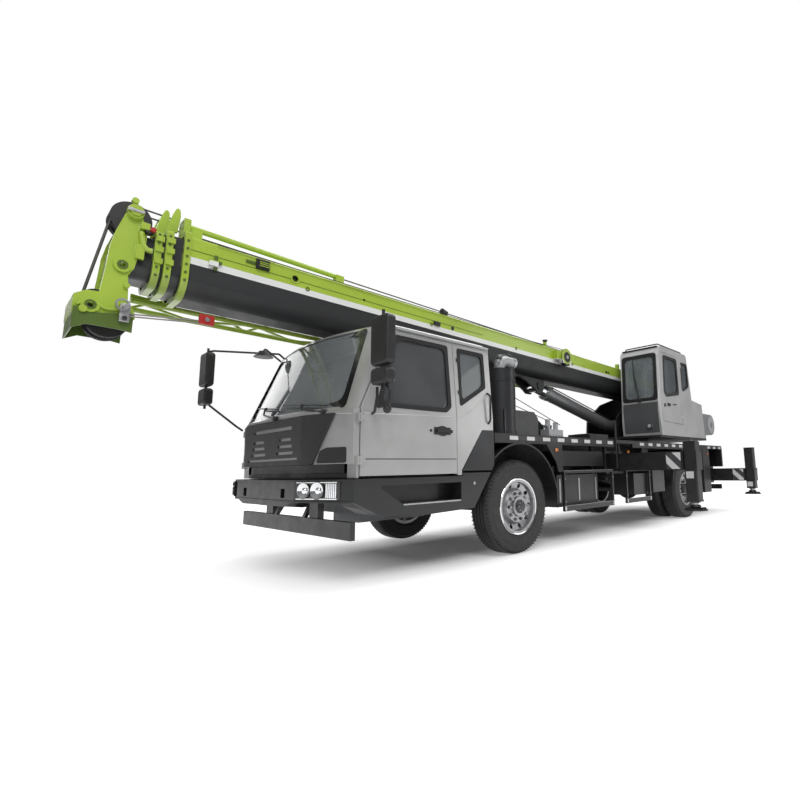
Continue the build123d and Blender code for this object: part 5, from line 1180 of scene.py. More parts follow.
@dataclass
class Wheels:
    """Tyres with grooves, shoulder lugs and ribs, and the nuts and caps of the rims; the lugs are in near-black rubber
    that paints the shade of the grooves between them.
    """

    radius: float = 0.520
    width: float = 0.275
    rim: float = 0.300
    axles: dict[str, float] = field(default_factory=lambda: {"front": 1.430, "rear": -3.270})
    offset: dict[str, float] = field(default_factory=lambda: {"front": 1.045, "rear": 1.055})
    twin: float = 0.320
    nuts: int = 10
    lugs: int = 72

    def build(self) -> None:
        """Makes every wheel's tyre and fittings."""
        for side, sign in SIDES.items():
            for end, axle in self.axles.items():
                self._tyres(side, sign, end, axle)
                self._hub(side, sign, end, axle)

    def _profile(self) -> list[Pair]:
        """Returns the tyre's section as (radius, distance from its middle plane)."""
        half = self.width / 2
        rows = [(self.rim + 0.001, half - 0.032), (self.rim + 0.014, half - 0.012), (self.rim + 0.030, half - 0.006),
                (self.rim + 0.045, half - 0.004), (self.rim + 0.050, half - 0.001), (self.rim + 0.058, half - 0.002),
                (self.radius - 0.120, half), (self.radius - 0.095, half - 0.0005),
                (self.radius - 0.092, half - 0.004),
                (self.radius - 0.060, half - 0.006), (self.radius - 0.052, half - 0.003),
                (self.radius - 0.030, half - 0.012),
                (self.radius - 0.008, half - 0.032), (self.radius - 0.001, half - 0.050)]
        groove, depth = 0.006, 0.013
        for middle in (0.066, 0.024):
            rows += [(self.radius, middle + groove), (self.radius - depth, middle + groove * 0.7),
                     (self.radius - depth, middle - groove * 0.7), (self.radius, middle - groove)]
        return rows + [(reach, -across) for reach, across in reversed(rows)]

    def _tyres(self, side: str, sign: int, end: str, axle: float) -> None:
        """Makes the tyre, or the pair of tyres, of one wheel."""
        piece = Piece(f"tread_{end}_{side}", f"wheel_{end}_{side}", [Tone.TYRE, Tone.TYRE_GROOVE])
        for inboard in ((0.0,) if end == "front" else (0.0, self.twin)):
            centre = (axle, sign * (self.offset[end] - inboard), self.radius)
            piece.ring(self._profile(), centre, (0, 1, 0), 0, steps=108)
            before = piece.count
            # Thin lugs across each shoulder in near-black rubber: painted shade of shoulder grooves.
            for edge in (-1, 1):
                y = centre[1] + edge * (self.width / 2 - 0.026)
                piece.box((axle - 0.0035, y - 0.016, 2 * self.radius - 0.034),
                          (axle + 0.0035, y + 0.016, 2 * self.radius - 0.010), 1)
            piece.copy_turned(self.lugs, centre, (0, 1, 0), before)
        piece.done([f"tyre_{end}_{side}"], sharp=26.0)

    def _hub(self, side: str, sign: int, end: str, axle: float) -> None:
        """Makes the nuts, the cap, the valve and the edge ring of one wheel."""
        front = end == "front"
        face = self.offset[end] + (0.117 if front else 0.066)
        ring = 0.148 if front else 0.122
        tone = Tone.STEEL if front else Tone.DARK_STEEL
        piece = Piece(f"hub_{end}_{side}", f"wheel_{end}_{side}", [tone, Tone.CHROME, Tone.TRIM, Tone.DARK_STEEL])
        before = piece.count
        spot = (axle + ring, self.radius)
        piece.bolt((spot[0], spot[1]), (sign * (face - 0.008), sign * (face + 0.004)), 0.019, 3, 16)
        piece.bolt((spot[0], spot[1]), (sign * (face + 0.004), sign * (face + 0.024)), 0.0155, 0, 6)
        piece.bolt((spot[0], spot[1]), (sign * (face + 0.024), sign * (face + 0.036)), 0.0095, 0, 10, bevel=0.002)
        piece.copy_turned(self.nuts, (axle, 0, self.radius), (0, 1, 0), before)
        centre = (axle, sign * self.offset[end], self.radius)
        if front:
            cap = [(0.0, 0.186), (0.040, 0.184), (0.062, 0.176), (0.074, 0.160), (0.078, 0.140), (0.078, 0.110),
                   (0.0, 0.110)]
        else:
            cap = [(0.0, 0.120), (0.050, 0.118), (0.074, 0.108), (0.082, 0.090), (0.088, 0.070), (0.088, 0.040),
                   (0.0, 0.040)]
        piece.ring([(reach, along) for reach, along in cap], centre, (0, sign, 0), 3 if front else 2, 40,
                   closed=False)
        before = piece.count
        reach = 0.052
        height = 0.182 if front else 0.118
        piece.bolt((axle + reach, self.radius),
                   (sign * (self.offset[end] + height - 0.008), sign * (self.offset[end] + height + 0.003)), 0.006, 0,
                   6)
        piece.copy_turned(8, (axle, 0, self.radius), (0, 1, 0), before)
        lip = self.offset[end] + self.width / 2 - 0.010
        piece.ring([(self.rim + 0.006, -0.006), (self.rim + 0.012, 0.002), (self.rim + 0.008, 0.006),
                    (self.rim - 0.004, 0.004), (self.rim - 0.006, -0.006)], (axle, sign * lip, self.radius),
                   (0, sign, 0),
                   1 if front else 3, 64)
        piece.rod((axle - 0.242, sign * (self.offset[end] + 0.06), self.radius + 0.06),
                  (axle - 0.262, sign * (self.offset[end] + 0.135), self.radius + 0.066), 0.004, 0, 8)
        piece.done()


@dataclass
class CabTrim:
    """Window seals, wipers, gutters, creases, mirror glass, lamps and seats of the carrier's cab."""

    windscreen: tuple = ((-1.060, 1.500), (1.060, 1.500), (0.930, 2.262), (-0.930, 2.262))
    door_window: tuple = ((2.490, 1.560), (2.550, 1.510), (3.330, 1.510), (3.120, 2.180), (2.500, 2.180))
    quarter_window: tuple = ((2.352, 1.590), (2.352, 2.180), (1.985, 2.180), (1.985, 1.810))
    glass_depth: float = 0.0165
    lamp_near: Pair = (3.776, 0.720)
    lamp_far: Pair = (3.624, 1.140)
    lamp_span: Pair = (0.715, 0.868)
    seat_y: float = 0.560

    def build(self) -> None:
        """Makes the trim."""
        self._front_seal()
        self._wipers()
        self._front_panels()
        for side, sign in SIDES.items():
            self._door_trim(side, sign)
            self._side_trim(side, sign)
            self._headlamp(side, sign)
            self._mirror_glass(side, sign)
            self._seat(side, sign)
        self._controls()

    def _front_seal(self) -> None:
        """Makes the black border round the windscreen."""
        piece = Piece("windscreen_seal", "chassis", [Tone.BLACK_GLOSS])
        outer = inset(rounded(self.windscreen, 0.03), -0.012)
        inner = rounded(inset(self.windscreen, 0.046), 0.10)
        frame_strip(piece, outer, inner, CAB.front(0.003), CAB.front(-self.glass_depth))
        piece.done()

    def _wipers(self) -> None:
        """Makes two wipers that lie along the foot of the windscreen."""
        piece = Piece("windscreen_wipers", "chassis", [Tone.TRIM, Tone.SOFT_SEAL])
        near = CAB.front(0.030)
        for pivot, elbow, first, last in (((0.86, 1.462), (0.52, 1.510), (0.86, 1.520), (0.12, 1.592)),
                                          ((0.08, 1.462), (-0.28, 1.530), (0.04, 1.560), (-0.66, 1.640))):
            piece.rod(CAB.front(-0.004)(*pivot), CAB.front(0.045)(*pivot), 0.024, 0, 18, bevel=0.004)
            middle = ((first[0] + last[0]) / 2, (first[1] + last[1]) / 2)
            piece.tube([near(*pivot), near(*elbow), near(*middle)], 0.009, 0, 8)
            steps = [(first[0] + (last[0] - first[0]) * i / 4,
                      first[1] + (last[1] - first[1]) * i / 4) for i in range(5)]
            piece.tube([CAB.front(0.020)(*spot) for spot in steps], 0.007, 0, 8)
            piece.tube([CAB.front(0.006)(spot[0], spot[1]) for spot in steps], 0.004, 1, 6)
            piece.rod(near(*middle), CAB.front(0.010)(*middle), 0.012, 0, 10)
        piece.done()

    def _front_panels(self) -> None:
        """Makes the smooth panel over the grille, the corner deflectors and the creases of the front; the crease beads
        are in lighter silver, a painted highlight.
        """
        piece = Piece("front_panels", "chassis", [Tone.CHARCOAL, Tone.SILVER_LIGHT, Tone.TRIM])
        over, under = CAB.nose_plane(0.0055), CAB.nose_plane(-0.004)
        for sign in SIDES.values():
            outline = [(0.80, 1.018), (1.120, 1.018), (1.120, 1.150), (0.900, 1.150), (0.830, 1.120)]
            patch(piece, rounded([(sign * y, z) for y, z in outline], 0.02), over, under, 0)
            for row in range(3):
                low = 1.040 + 0.030 * row
                patch(piece, [(sign * y, z) for y,
                              z in ((0.87, low), (1.09, low), (1.09, low + 0.012), (0.87, low + 0.012))],
                      CAB.nose_plane(0.0085), CAB.nose_plane(0.004), 2)
            # Crease bead in lighter silver: a painted highlight.
            piece.tube([CAB.nose_plane(0.001)(sign * y, z) for y, z in ((0.86, 1.446), (1.02, 1.440), (1.16, 1.430))],
                       0.005, 1, 8)
        piece.done()

    def _door_trim(self, side: str, sign: int) -> None:
        """Makes one door's window seal, creases and handle recess; the upper crease's bead is in lighter silver, a
        painted highlight.
        """
        piece = Piece(f"door_trim_{side}", f"cab_door_{side}",
                      [Tone.SOFT_SEAL, Tone.SILVER_LIGHT, Tone.TRIM, Tone.CHARCOAL])
        outer = inset(rounded(self.door_window, 0.02), -0.012)
        inner = rounded(inset(self.door_window, 0.030), 0.07)
        frame_strip(piece, outer, inner, CAB.side(sign, 0.003), CAB.side(sign, -self.glass_depth), 0)
        skin = CAB.side(sign, 0.0)
        # Belt crease bead in lighter silver: a painted highlight.
        piece.tube([skin(x, z) for x, z in ((3.470, 1.431), (3.0, 1.446), (2.425, 1.463))], 0.0055, 1, 8)
        piece.tube([skin(x, z) for x, z in ((3.470, 1.0455), (2.425, 1.0465))], 0.004, 2, 8)
        piece.ball((2.600, sign * 1.2355, 1.315), 0.060, 3, (1.30, 0.09, 0.85))
        piece.plate((2.480, 2.640), sign * 1.2440, 0.008, (1.298, 1.330), 2, 0.006)
        piece.bolt((2.745, 1.315), (sign * 1.230, sign * 1.241), 0.014, 2, 18, bevel=0.002)
        piece.plate((3.02, 3.38), sign * 1.140, 0.006, (1.20, 1.42), 2, 0.004)
        piece.done()

    def _side_trim(self, side: str, sign: int) -> None:
        """Makes one side's quarter window seal, gutter, creases and grab handle; the crease's bead is in lighter
        silver, a painted highlight.
        """
        piece = Piece(f"cab_side_trim_{side}", "chassis",
                      [Tone.SOFT_SEAL, Tone.SILVER_LIGHT, Tone.TRIM, Tone.STEEL, Tone.LIGHT_GREY])
        outer = inset(rounded(self.quarter_window, 0.02), -0.012)
        inner = rounded(inset(self.quarter_window, 0.026), 0.06)
        frame_strip(piece, outer, inner, CAB.side(sign, 0.003), CAB.side(sign, -self.glass_depth), 0)
        for x, z in ((2.376, 1.72), (2.376, 2.06)):
            piece.box((x - 0.030, sign * CAB.side(1, 0.006)(x, z)[1] - 0.006, z - 0.022),
                      (x + 0.002, sign * CAB.side(1, 0.006)(x, z)[1] + 0.006, z + 0.022), 2, 0.003)
        skin = CAB.side(sign, 0.0)
        # Crease bead in lighter silver: a painted highlight.
        piece.tube([skin(x, z) for x, z in ((2.405, 1.464), (2.30, 1.485), (1.915, 1.765))], 0.0055, 1, 8)
        piece.plate((1.915, 3.108), sign * 1.1905, 0.005, (2.240, 2.262), 4, 0.003)
        piece.tube([(1.965, sign * 1.232, 1.42), (1.965, sign * 1.268, 1.45), (1.955, sign * 1.262, 1.72),
                    (1.955, sign * 1.215, 1.75)], 0.011, 2, 10)
        for low, slot in ((0.640, 3), (0.868, 2)):
            piece.plate((2.372, 3.055 if low < 0.8 else 3.27), sign * 1.2405, 0.003, (low, low + 0.014), slot, 0.002)
        piece.bolt((2.187, 0.805), (sign * 1.236, sign * 1.246), 0.016, 3, 18, bevel=0.003)
        piece.done()

    def _headlamp(self, side: str, sign: int) -> None:
        """Makes one headlamp: two reflectors with bulbs and rims, and a ribbed field between two bars."""
        piece = Piece(f"headlamp_{side}", "chassis",
                      [Tone.CHROME, Tone.HEADLAMP, Tone.BULB, Tone.BLACK_GLOSS, Tone.BULB])
        near, far = Vector((*self.lamp_near, 0.0)), Vector((*self.lamp_far, 0.0))
        run = (far - near).normalized()
        out = Vector((run.y, -run.x, 0.0))
        middle = sum(self.lamp_span) / 2
        length = (far - near).length

        def spot(along: float, ahead: float, z: float) -> Point:
            """Returns a point of the lamp's face."""
            place = near + run * along + out * ahead
            return (place.x, sign * place.y, z)

        axis = (out.x, sign * out.y, 0.0)
        for along, radius in ((0.085, 0.060), (0.232, 0.064)):
            piece.ring([(0.012, 0.001), (radius * 0.6, 0.003), (radius, 0.016), (radius + 0.004, 0.016),
                        (radius + 0.004, 0.0), (0.012, 0.0)], spot(along, 0.0, middle), axis, 0, 40)
            piece.ring([(0.0, 0.011), (radius * 0.3, 0.010), (radius * 0.42, 0.003), (0.0, 0.003)],
                       spot(along, 0.0, middle), axis, 4, 24, closed=False)
            piece.ring([(radius + 0.0045, 0.0), (radius + 0.0045, 0.013), (radius + 0.009, 0.013),
                        (radius + 0.009, 0.0)], spot(along, 0.0, middle), axis, 3, 40)
        for index in range(6):
            along = 0.322 + 0.019 * index
            low, high = self.lamp_span[0] + 0.018, self.lamp_span[1] - 0.018
            rib = [spot(along, 0.0, low), spot(along + 0.013, 0.0, low), spot(along + 0.013, 0.009, low),
                   spot(along, 0.009, low)]
            piece.sheet(rib, (0, 0, high - low), 0 if index < 2 else 2)
        for z in (self.lamp_span[0] + 0.005, self.lamp_span[1] - 0.013):
            bar = [spot(0.006, 0.0, z), spot(length - 0.006, 0.0, z), spot(length - 0.006, 0.012, z),
                   spot(0.006, 0.012, z)]
            piece.sheet(bar, (0, 0, 0.008), 0)
        piece.done()

    def _mirror_glass(self, side: str, sign: int) -> None:
        """Makes the glass of one side's two mirrors."""
        piece = Piece(f"mirror_glass_{side}", "cab_door_left" if side == "left" else "chassis", [Tone.MIRROR])
        x, y, spans = ((3.3825, 1.450, ((1.835, 2.210), (1.670, 1.770))) if side == "left"
                       else (3.8325, 1.500, ((1.985, 2.335), (1.760, 1.915))))
        for low, high in spans:
            piece.plate((x - 0.0035, x + 0.001), sign * y, 0.098, (low, high), 0, 0.0015)
        piece.done()

    def _seat(self, side: str, sign: int) -> None:
        """Makes one seat's cushion, back and head rest as padded pieces."""
        middle = sign * self.seat_y
        for name, low, high, bevel in (("cushion", (2.462, -0.250, 1.176), (2.868, 0.250, 1.304), 0.045),
                                       ("back", (2.360, -0.250, 1.170), (2.482, 0.250, 1.888), 0.045),
                                       ("head_rest", (2.370, -0.136, 1.874), (2.470, 0.136, 2.047), 0.035)):
            piece = Piece(f"seat_{name}_{side}", "chassis", [Tone.SEAT_CLOTH])
            piece.box((low[0], low[1] + middle, low[2]), (high[0], high[1] + middle, high[2]), 0, bevel, segments=5)
            piece.done()

    def _controls(self) -> None:
        """Makes the steering wheel's rim, the instrument hood and the gear lever."""
        piece = Piece("cab_controls", "chassis", [Tone.SOFT_SEAL, Tone.DASH, Tone.CHROME])
        centre = Vector((2.991, self.seat_y, 1.489))
        ring = [(0.213 + 0.019 * math.cos(turn * math.pi / 4),
                 0.017 * math.sin(turn * math.pi / 4)) for turn in range(8)]
        piece.ring(ring, centre, (-1, 0, 1), 0, 48)
        piece.ball((3.005, self.seat_y, 1.500), 0.060, 0, (1.0, 1.0, 0.6))
        piece.box((3.16, self.seat_y - 0.22, 1.40), (3.34, self.seat_y + 0.22, 1.50), 1, 0.03)
        piece.rod((3.02, 0.10, 0.95), (2.98, 0.12, 1.34), 0.010, 2, 10)
        piece.ball((2.98, 0.12, 1.36), 0.028, 0)
        piece.box((2.70, -0.16, 0.93), (3.14, 0.22, 1.08), 1, 0.03)
        piece.done()


@dataclass
class OperatorTrim:
    """Window frames, wiper, lamp, lock, seat and levers of the crane operator's cab."""

    door_window: tuple = ((-3.200, 2.270), (-2.660, 2.190), (-2.600, 2.260), (-2.640, 2.900), (-3.180, 2.900))
    quarter: tuple = ((-3.700, 2.450), (-3.430, 2.345), (-3.388, 2.385), (-3.388, 2.890), (-3.680, 2.890))
    front: tuple = ((0.520, 2.120), (1.120, 2.120), (1.120, 2.910), (0.520, 2.910))
    face_y: float = 1.190
    front_x: float = -2.370
    knee_z: float = 1.900
    lean: float = 0.040 / 1.020

    def build(self) -> None:
        """Makes the trim."""
        self._front()
        self._windows()
        self._fittings()
        self._seat()

    def _ahead(self, lift: float) -> Callable[[float, float], Point]:
        """Returns the map from (y, z) to a point before the cab's front."""
        def place(y: float, z: float) -> Point:
            slope = self.lean * (z - self.knee_z) if z > self.knee_z else (self.knee_z - z) * 0.040 / 0.430
            return (self.front_x - slope + lift, y, z)
        return place

    def _beside(self, lift: float, sign: int = 1) -> Callable[[float, float], Point]:
        """Returns the map from (x, z) to a point beside the cab."""
        face = self.face_y if sign > 0 else 0.440
        return lambda x, z: (x, face + sign * lift, z)

    def _front(self) -> None:
        """Makes the black frame of the front window, the dark grey panel under it, which is painted shade on the
        front's lower part, and the wiper.
        """
        piece = Piece("operator_front_trim", "turntable", [Tone.SOFT_SEAL, Tone.DARK_GREY, Tone.TRIM])
        outer = rounded(inset(self.front, -0.036), 0.06)
        inner = rounded(inset(self.front, 0.022), 0.09)
        frame_strip(piece, outer, inner, self._ahead(0.005), self._ahead(-0.012), 0)
        # Painted shade: a dark grey panel over the lower front, which gets less light.
        shade_panel = [(0.485, 1.520), (1.150, 1.520), (1.150, 1.900), (1.150, 2.055), (0.485, 2.055), (0.485, 1.900)]
        patch(piece, shade_panel, self._ahead(0.004), self._ahead(-0.004), 1)
        piece.rod(self._ahead(0.0)(0.825, 2.098), self._ahead(0.050)(0.825, 2.098), 0.030, 2, 18, bevel=0.005)
        piece.tube([self._ahead(0.036)(*spot) for spot in ((0.825, 2.098), (0.800, 2.30), (0.735, 2.60))], 0.008, 2,
                   8)
        piece.tube([self._ahead(0.016)(*spot) for spot in ((0.755, 2.33), (0.735, 2.60), (0.712, 2.87))], 0.007, 2, 8)
        piece.rod(self._ahead(0.036)(0.735, 2.60), self._ahead(0.010)(0.735, 2.60), 0.010, 2, 10)
        piece.done()

    def _windows(self) -> None:
        """Makes the frames of the side windows."""
        for name, body, outline, grow, corner in (
                ("operator_door_seal", "operator_door", self.door_window, 0.030, 0.10),
                ("operator_quarter_seal", "turntable", self.quarter, 0.012, 0.05)):
            piece = Piece(name, body, [Tone.SOFT_SEAL])
            frame_strip(piece, rounded(inset(outline, -grow), 0.06), rounded(inset(outline, 0.022), corner),
                        self._beside(0.004), self._beside(-0.0195))
            if body == "turntable":
                for pane in (self.quarter, self.door_window):
                    frame_strip(piece, rounded(inset(pane, -0.02), 0.05), rounded(inset(pane, 0.022), 0.07),
                                self._beside(0.004, -1), self._beside(-0.0195, -1))
            piece.done()

    def _fittings(self) -> None:
        """Makes the door's lock and handle, the lamp, the roof lamp and a thin bar at the roof's front."""
        piece = Piece("operator_door_fittings", "operator_door", [Tone.TRIM, Tone.CHROME])
        piece.bolt((-2.585, 2.006), (1.188, 1.198), 0.036, 0, 24, bevel=0.003)
        piece.bolt((-2.585, 2.006), (1.198, 1.203), 0.014, 1, 16)
        piece.tube([(-3.03, 1.186, 2.045), (-3.03, 1.222, 2.045), (-2.93, 1.222, 2.040), (-2.93, 1.186, 2.040)],
                   0.008, 0, 8)
        piece.done()
        lamp = Piece("operator_lamp", "turntable", [Tone.TRIM, Tone.HEADLAMP, Tone.CHROME, Tone.AMBER])
        lamp.ring([(0.030, -0.014), (0.047, -0.014), (0.049, 0.004), (0.043, 0.006), (0.030, 0.0)],
                  (-2.358, 0.980, 1.640), (1, 0, 0), 0, 32)
        lamp.ring([(0.0, 0.004), (0.030, 0.003), (0.042, -0.002), (0.0, -0.004)], (-2.356, 0.980, 1.640), (1, 0, 0),
                  1, 32,
                  closed=False)
        lamp.post((-3.35, 1.13), (3.080, 3.118), 0.018, 0, 16, bevel=0.004)
        lamp.box((-2.52, 0.47, 3.060), (-2.46, 1.16, 3.076), 0, 0.004)
        lamp.done()

    def _seat(self) -> None:
        """Makes the operator's seat, its pedestal and the levers."""
        base = Piece("operator_seat_base", "turntable", [Tone.DASH, Tone.SOFT_SEAL, Tone.CHROME])
        base.box((-3.35, 0.60, 1.520), (-2.90, 1.04, 1.850), 0, 0.02)
        base.box((-2.70, 0.62, 1.520), (-2.56, 1.02, 2.060), 0, 0.03)
        for y in (0.555, 1.075):
            base.box((-3.30, y - 0.030, 1.86), (-2.92, y + 0.030, 2.05), 0, 0.02)
            base.rod((-2.96, y, 2.04), (-2.93, y, 2.19), 0.010, 2, 10)
            base.ball((-2.925, y, 2.21), 0.026, 1)
        base.done(["operator_seat"])
        for name, low, high in (("cushion", (-3.354, 0.586, 1.846), (-2.896, 1.054, 1.976)),
                                ("back", (-3.404, 0.596, 1.960), (-3.286, 1.044, 2.604))):
            piece = Piece(f"operator_seat_{name}", "turntable", [Tone.SEAT_CLOTH])
            piece.box(low, high, 0, 0.045, segments=5)
            piece.done()


@dataclass
class BoomTrim:
    """Guards, ropes, pins, pipes, lamps and brackets on the boom and its head."""

    plate_y: Pair = (0.214, 0.226)
    side_y: float = 0.270
    guard: tuple = ((0.006, -0.530), (0.120, -0.560), (0.355, -0.512), (0.365, -0.530), (0.365, -0.668),
                    (0.300, -0.658), (0.090, -0.655), (0.006, -0.700))
    head_sheave: tuple[float, float, float] = (0.301, 0.320, 0.142)
    low_sheave: tuple[float, float, float] = (0.141, -0.430, 0.096)
    rope: float = 0.008

    def build(self) -> None:
        """Makes the trim."""
        self._guards()
        self._head_fittings()
        self._ropes()
        self._side_fittings()
        self._collar_bolts()
        self._cylinder()

    def _guards(self) -> None:
        """Makes the skirt round the lower sheave, in the darker lime that paints its shade."""
        piece = Piece("lower_head_guard", "boom_head", [Tone.DARK_LIME, Tone.LIME])
        for sign in SIDES.values():
            low = sign * self.plate_y[0]
            piece.sheet([BOOM.back(back, low, up) for back, up in self.guard],
                        (0, sign * (self.plate_y[1] - self.plate_y[0]), 0), 0, 0.002)
            piece.tube([BOOM.back(back, sign * self.plate_y[1], up)
                        for back, up in ((0.02, -0.515), (0.10, -0.470), (0.20, -0.520), (0.34, -0.470))], 0.012, 1,
                       10)
            for back, up, radius in ((0.060, -0.548, 0.026), (0.300, -0.300, 0.020)):
                piece.pin((back, up), (sign * 0.205, sign * 0.246), radius, 1, 20, bevel=0.003)
        piece.sheet([BOOM.back(0.006, -0.214, -0.572), BOOM.back(0.006, 0.214, -0.572),
                     BOOM.back(0.006, 0.214, -0.698),
                     BOOM.back(0.006, -0.214, -0.698)], (-0.010, 0, 0), 0, 0.002)
        piece.done()

    def _head_fittings(self) -> None:
        """Makes the pins, rings, rope socket, bent bracket, thin rods and red block of the head."""
        # The darker lime slot paints shade on the rings by the sheaves.
        piece = Piece("head_fittings", "boom_head",
                      [Tone.LIME, Tone.STEEL, Tone.RED, Tone.TRIM, Tone.DARK_LIME, Tone.CABLE])
        outer = 0.214
        back, up = self.head_sheave[:2]
        for sign in SIDES.values():
            for ring, thick in ((0.058, 0.012), (0.040, 0.024)):
                piece.pin((back, up), (sign * outer, sign * (outer + thick + 0.028)), ring, 0, 28, bevel=0.003)
            piece.box_along((back - 0.055, up - 0.012), (back + 0.055, up + 0.012),
                            (sign * (outer + 0.052), sign * (outer + 0.060)), 1, 0.002)
            for low_back, low_up in ((0.258, -0.140), (0.100, -0.505)):
                piece.ring([(0.021, 0.0), (0.021, 0.006), (0.036, 0.006), (0.036, 0.0)],
                           BOOM.back(low_back, sign * 0.236, low_up), (0, sign, 0), 4, 28)
        pin = (0.402, 0.196)
        piece.pin((pin[0], pin[1]), (0.205, 0.262), 0.034, 3, 20, bevel=0.004)
        piece.pin((pin[0] + 0.018, pin[1]), (0.250, 0.290), 0.020, 2, 16, bevel=0.003)
        piece.tube([BOOM.back(0.352, 0.228, 0.170), BOOM.back(0.372, 0.232, 0.060), BOOM.back(0.400, 0.236, 0.030),
                    BOOM.back(0.436, 0.240, 0.030)], 0.022, 0, 12)
        piece.box_along((0.270, -0.600), (0.338, -0.452), (0.228, 0.262), 1, 0.008)
        piece.pin((0.304, -0.480), (0.222, 0.286), 0.022, 1, 16, bevel=0.003)
        piece.pin((0.304, -0.570), (0.222, 0.280), 0.016, 3, 16, bevel=0.003)
        piece.band((0.034, 0.048), 0.007, BOOM.back(0.282, 0.276, -0.470), (0, 1, 0), 1, 24)
        for up in (-0.530, -0.550):
            piece.rod(BOOM.back(0.340, 0.262, up), BOOM.back(0.820, 0.262, up + 0.060), 0.006, 5, 8)
        piece.box_along((0.800, -0.500), (0.920, -0.410), (0.246, 0.278), 2, 0.010)
        piece.pin((0.860, -0.455), (0.240, 0.290), 0.018, 1, 14, bevel=0.002)
        piece.done()

    def _ropes(self) -> None:
        """Makes the hoist rope round the head and along the boom's top."""
        head = Piece("head_rope", "boom_head", [Tone.ROPE])
        back, up, radius = self.head_sheave
        low_back, low_up, low_radius = self.low_sheave
        for y in (-0.062, 0.062):
            turn = [BOOM.back(back - (radius - 0.016) * math.cos(angle), y, up + (radius - 0.016) * math.sin(angle))
                    for angle in (math.radians(-8 + 14 * step) for step in range(8))]
            head.tube([BOOM.back(low_back - low_radius + 0.014, y, low_up), *turn, BOOM.back(0.640, y, 0.440)],
                      self.rope, 0, 8, 2)
        head.done()
        top = Piece("boom_top_rope", "boom_base", [Tone.ROPE, Tone.TRIM])
        for y in (-0.062, 0.062):
            top.rod(BOOM.at(0.35, y, 0.300), BOOM.back(0.640, y, 0.400), self.rope, 0, 8)
        for along in (2.2, 4.6, 6.9):
            top.box_low(BOOM.at(along, 0.0, 0.248), (0.030, 0.090, 0.004), 1, 0.001)
            for y in (-0.085, 0.085):
                top.rod(BOOM.at(along, y, 0.245), BOOM.at(along, y, 0.330), 0.008, 1, 8)
            top.rod(BOOM.at(along, -0.09, 0.286), BOOM.at(along, 0.09, 0.286), 0.012, 1, 10)
        top.done()

    def _side_fittings(self) -> None:
        """Makes the boxes, brackets, pipes, reel and lamps on the boom's left side."""
        # The darker lime slot paints shade on the small boxes, pipe and rings on the boom's side.
        piece = Piece("boom_side_fittings", "boom_base",
                      [Tone.LIME, Tone.TRIM, Tone.STEEL, Tone.DARK_LIME, Tone.HOSE, Tone.CHARCOAL])
        face = self.side_y
        piece.box_along((1.215, 0.132), (1.335, 0.222), (face - 0.002, face + 0.030), 1, 0.003)
        for row in range(4):
            low = 0.143 + 0.019 * row
            piece.box_along((1.222, low), (1.328, low + 0.009), (face + 0.028, face + 0.037), 5, 0.001)
        piece.box_along((1.130, 0.160), (1.212, 0.186), (face - 0.002, face + 0.014), 3, 0.002)
        piece.box_along((0.872, -0.004), (0.900, 0.132), (face - 0.004, face + 0.020), 3, 0.004)
        piece.box_along((0.880, 0.060), (0.932, 0.084), (face, face + 0.030), 3, 0.004)
        piece.tube([BOOM.back(0.690, face + 0.002, 0.128), BOOM.back(2.2, face + 0.002, 0.126),
                    BOOM.back(4.2, face + 0.002, 0.124)],
                   0.0025, 3, 6)
        for back in (1.72, 3.30, 4.90, 6.35):
            piece.ring([(0.010, 0.0), (0.010, 0.003), (0.022, 0.003), (0.022, 0.0)],
                       BOOM.back(back, face + 0.001, 0.070),
                       (0, 1, 0), 3, 20)
        for along in (2.052, 2.118):
            piece.rod(BOOM.at(along, face - 0.004, 0.105), BOOM.at(along, face + 0.006, 0.105), 0.020, 1, 18)
        for low, high in ((0.205, 0.235), (-0.015, 0.0)):
            piece.box_along((1.9, low), (8.6, high), (face - 0.001, face + 0.001), 0 if low > 0 else 5, 0.0)
        for back in (1.60, 3.2, 4.8):
            piece.rod(BOOM.back(back, 0.110, 0.250), BOOM.back(back, 0.110, 0.262), 0.030, 0, 16)
        reel = (3.580, 0.110)
        for y, radius, slot in ((0.398, 0.142, 5), (0.404, 0.118, 0), (0.410, 0.085, 5), (0.416, 0.030, 2)):
            piece.rod(BOOM.at(reel[0], y - 0.012, reel[1]), BOOM.at(reel[0], y, reel[1]), radius, slot, 40,
                      bevel=0.003)
        piece.tube([BOOM.at(reel[0] + 0.02, 0.335, 0.245), BOOM.at(4.4, 0.300, 0.238), BOOM.at(8.7, 0.285, 0.236)],
                   0.005, 4, 6)
        piece.rod(BOOM.at(3.895, 0.197, 0.330), BOOM.at(3.895, 0.197, 0.372), 0.020, 1, 16, end_radius=0.045)
        piece.rod(BOOM.back(3.550, 0.225, 0.225), BOOM.back(3.550, 0.225, 0.275), 0.010, 1, 10)
        piece.rod(BOOM.back(3.590, 0.225, 0.290), BOOM.back(3.500, 0.225, 0.290), 0.028, 1, 20, end_radius=0.050,
                  bevel=0.003)
        piece.box_along((3.330, 0.070), (3.430, 0.120), (face - 0.002, face + 0.026), 1, 0.006)
        piece.pin((3.650, 0.095), (face - 0.004, face + 0.005), 0.024, 1, 18)
        piece.done()

    def _collar_bolts(self) -> None:
        """Makes the bolts round each collar's mouth."""
        for node, along, half in (
                ("boom_base", 0.639, 0.296), ("boom_section_2", 0.518, 0.268), ("boom_section_3", 0.448, 0.240)):
            # The bolts are in the darker lime, painted shade.
            piece = Piece(f"collar_bolts_{node}", node, [Tone.DARK_LIME, Tone.STEEL])
            for sign in SIDES.values():
                for up in (-0.16, -0.09, -0.02, 0.05, 0.12, 0.19):
                    piece.pin((along + 0.025, up), (sign * (half - 0.006), sign * (half + 0.008)), 0.011, 0, 6)
            piece.done()

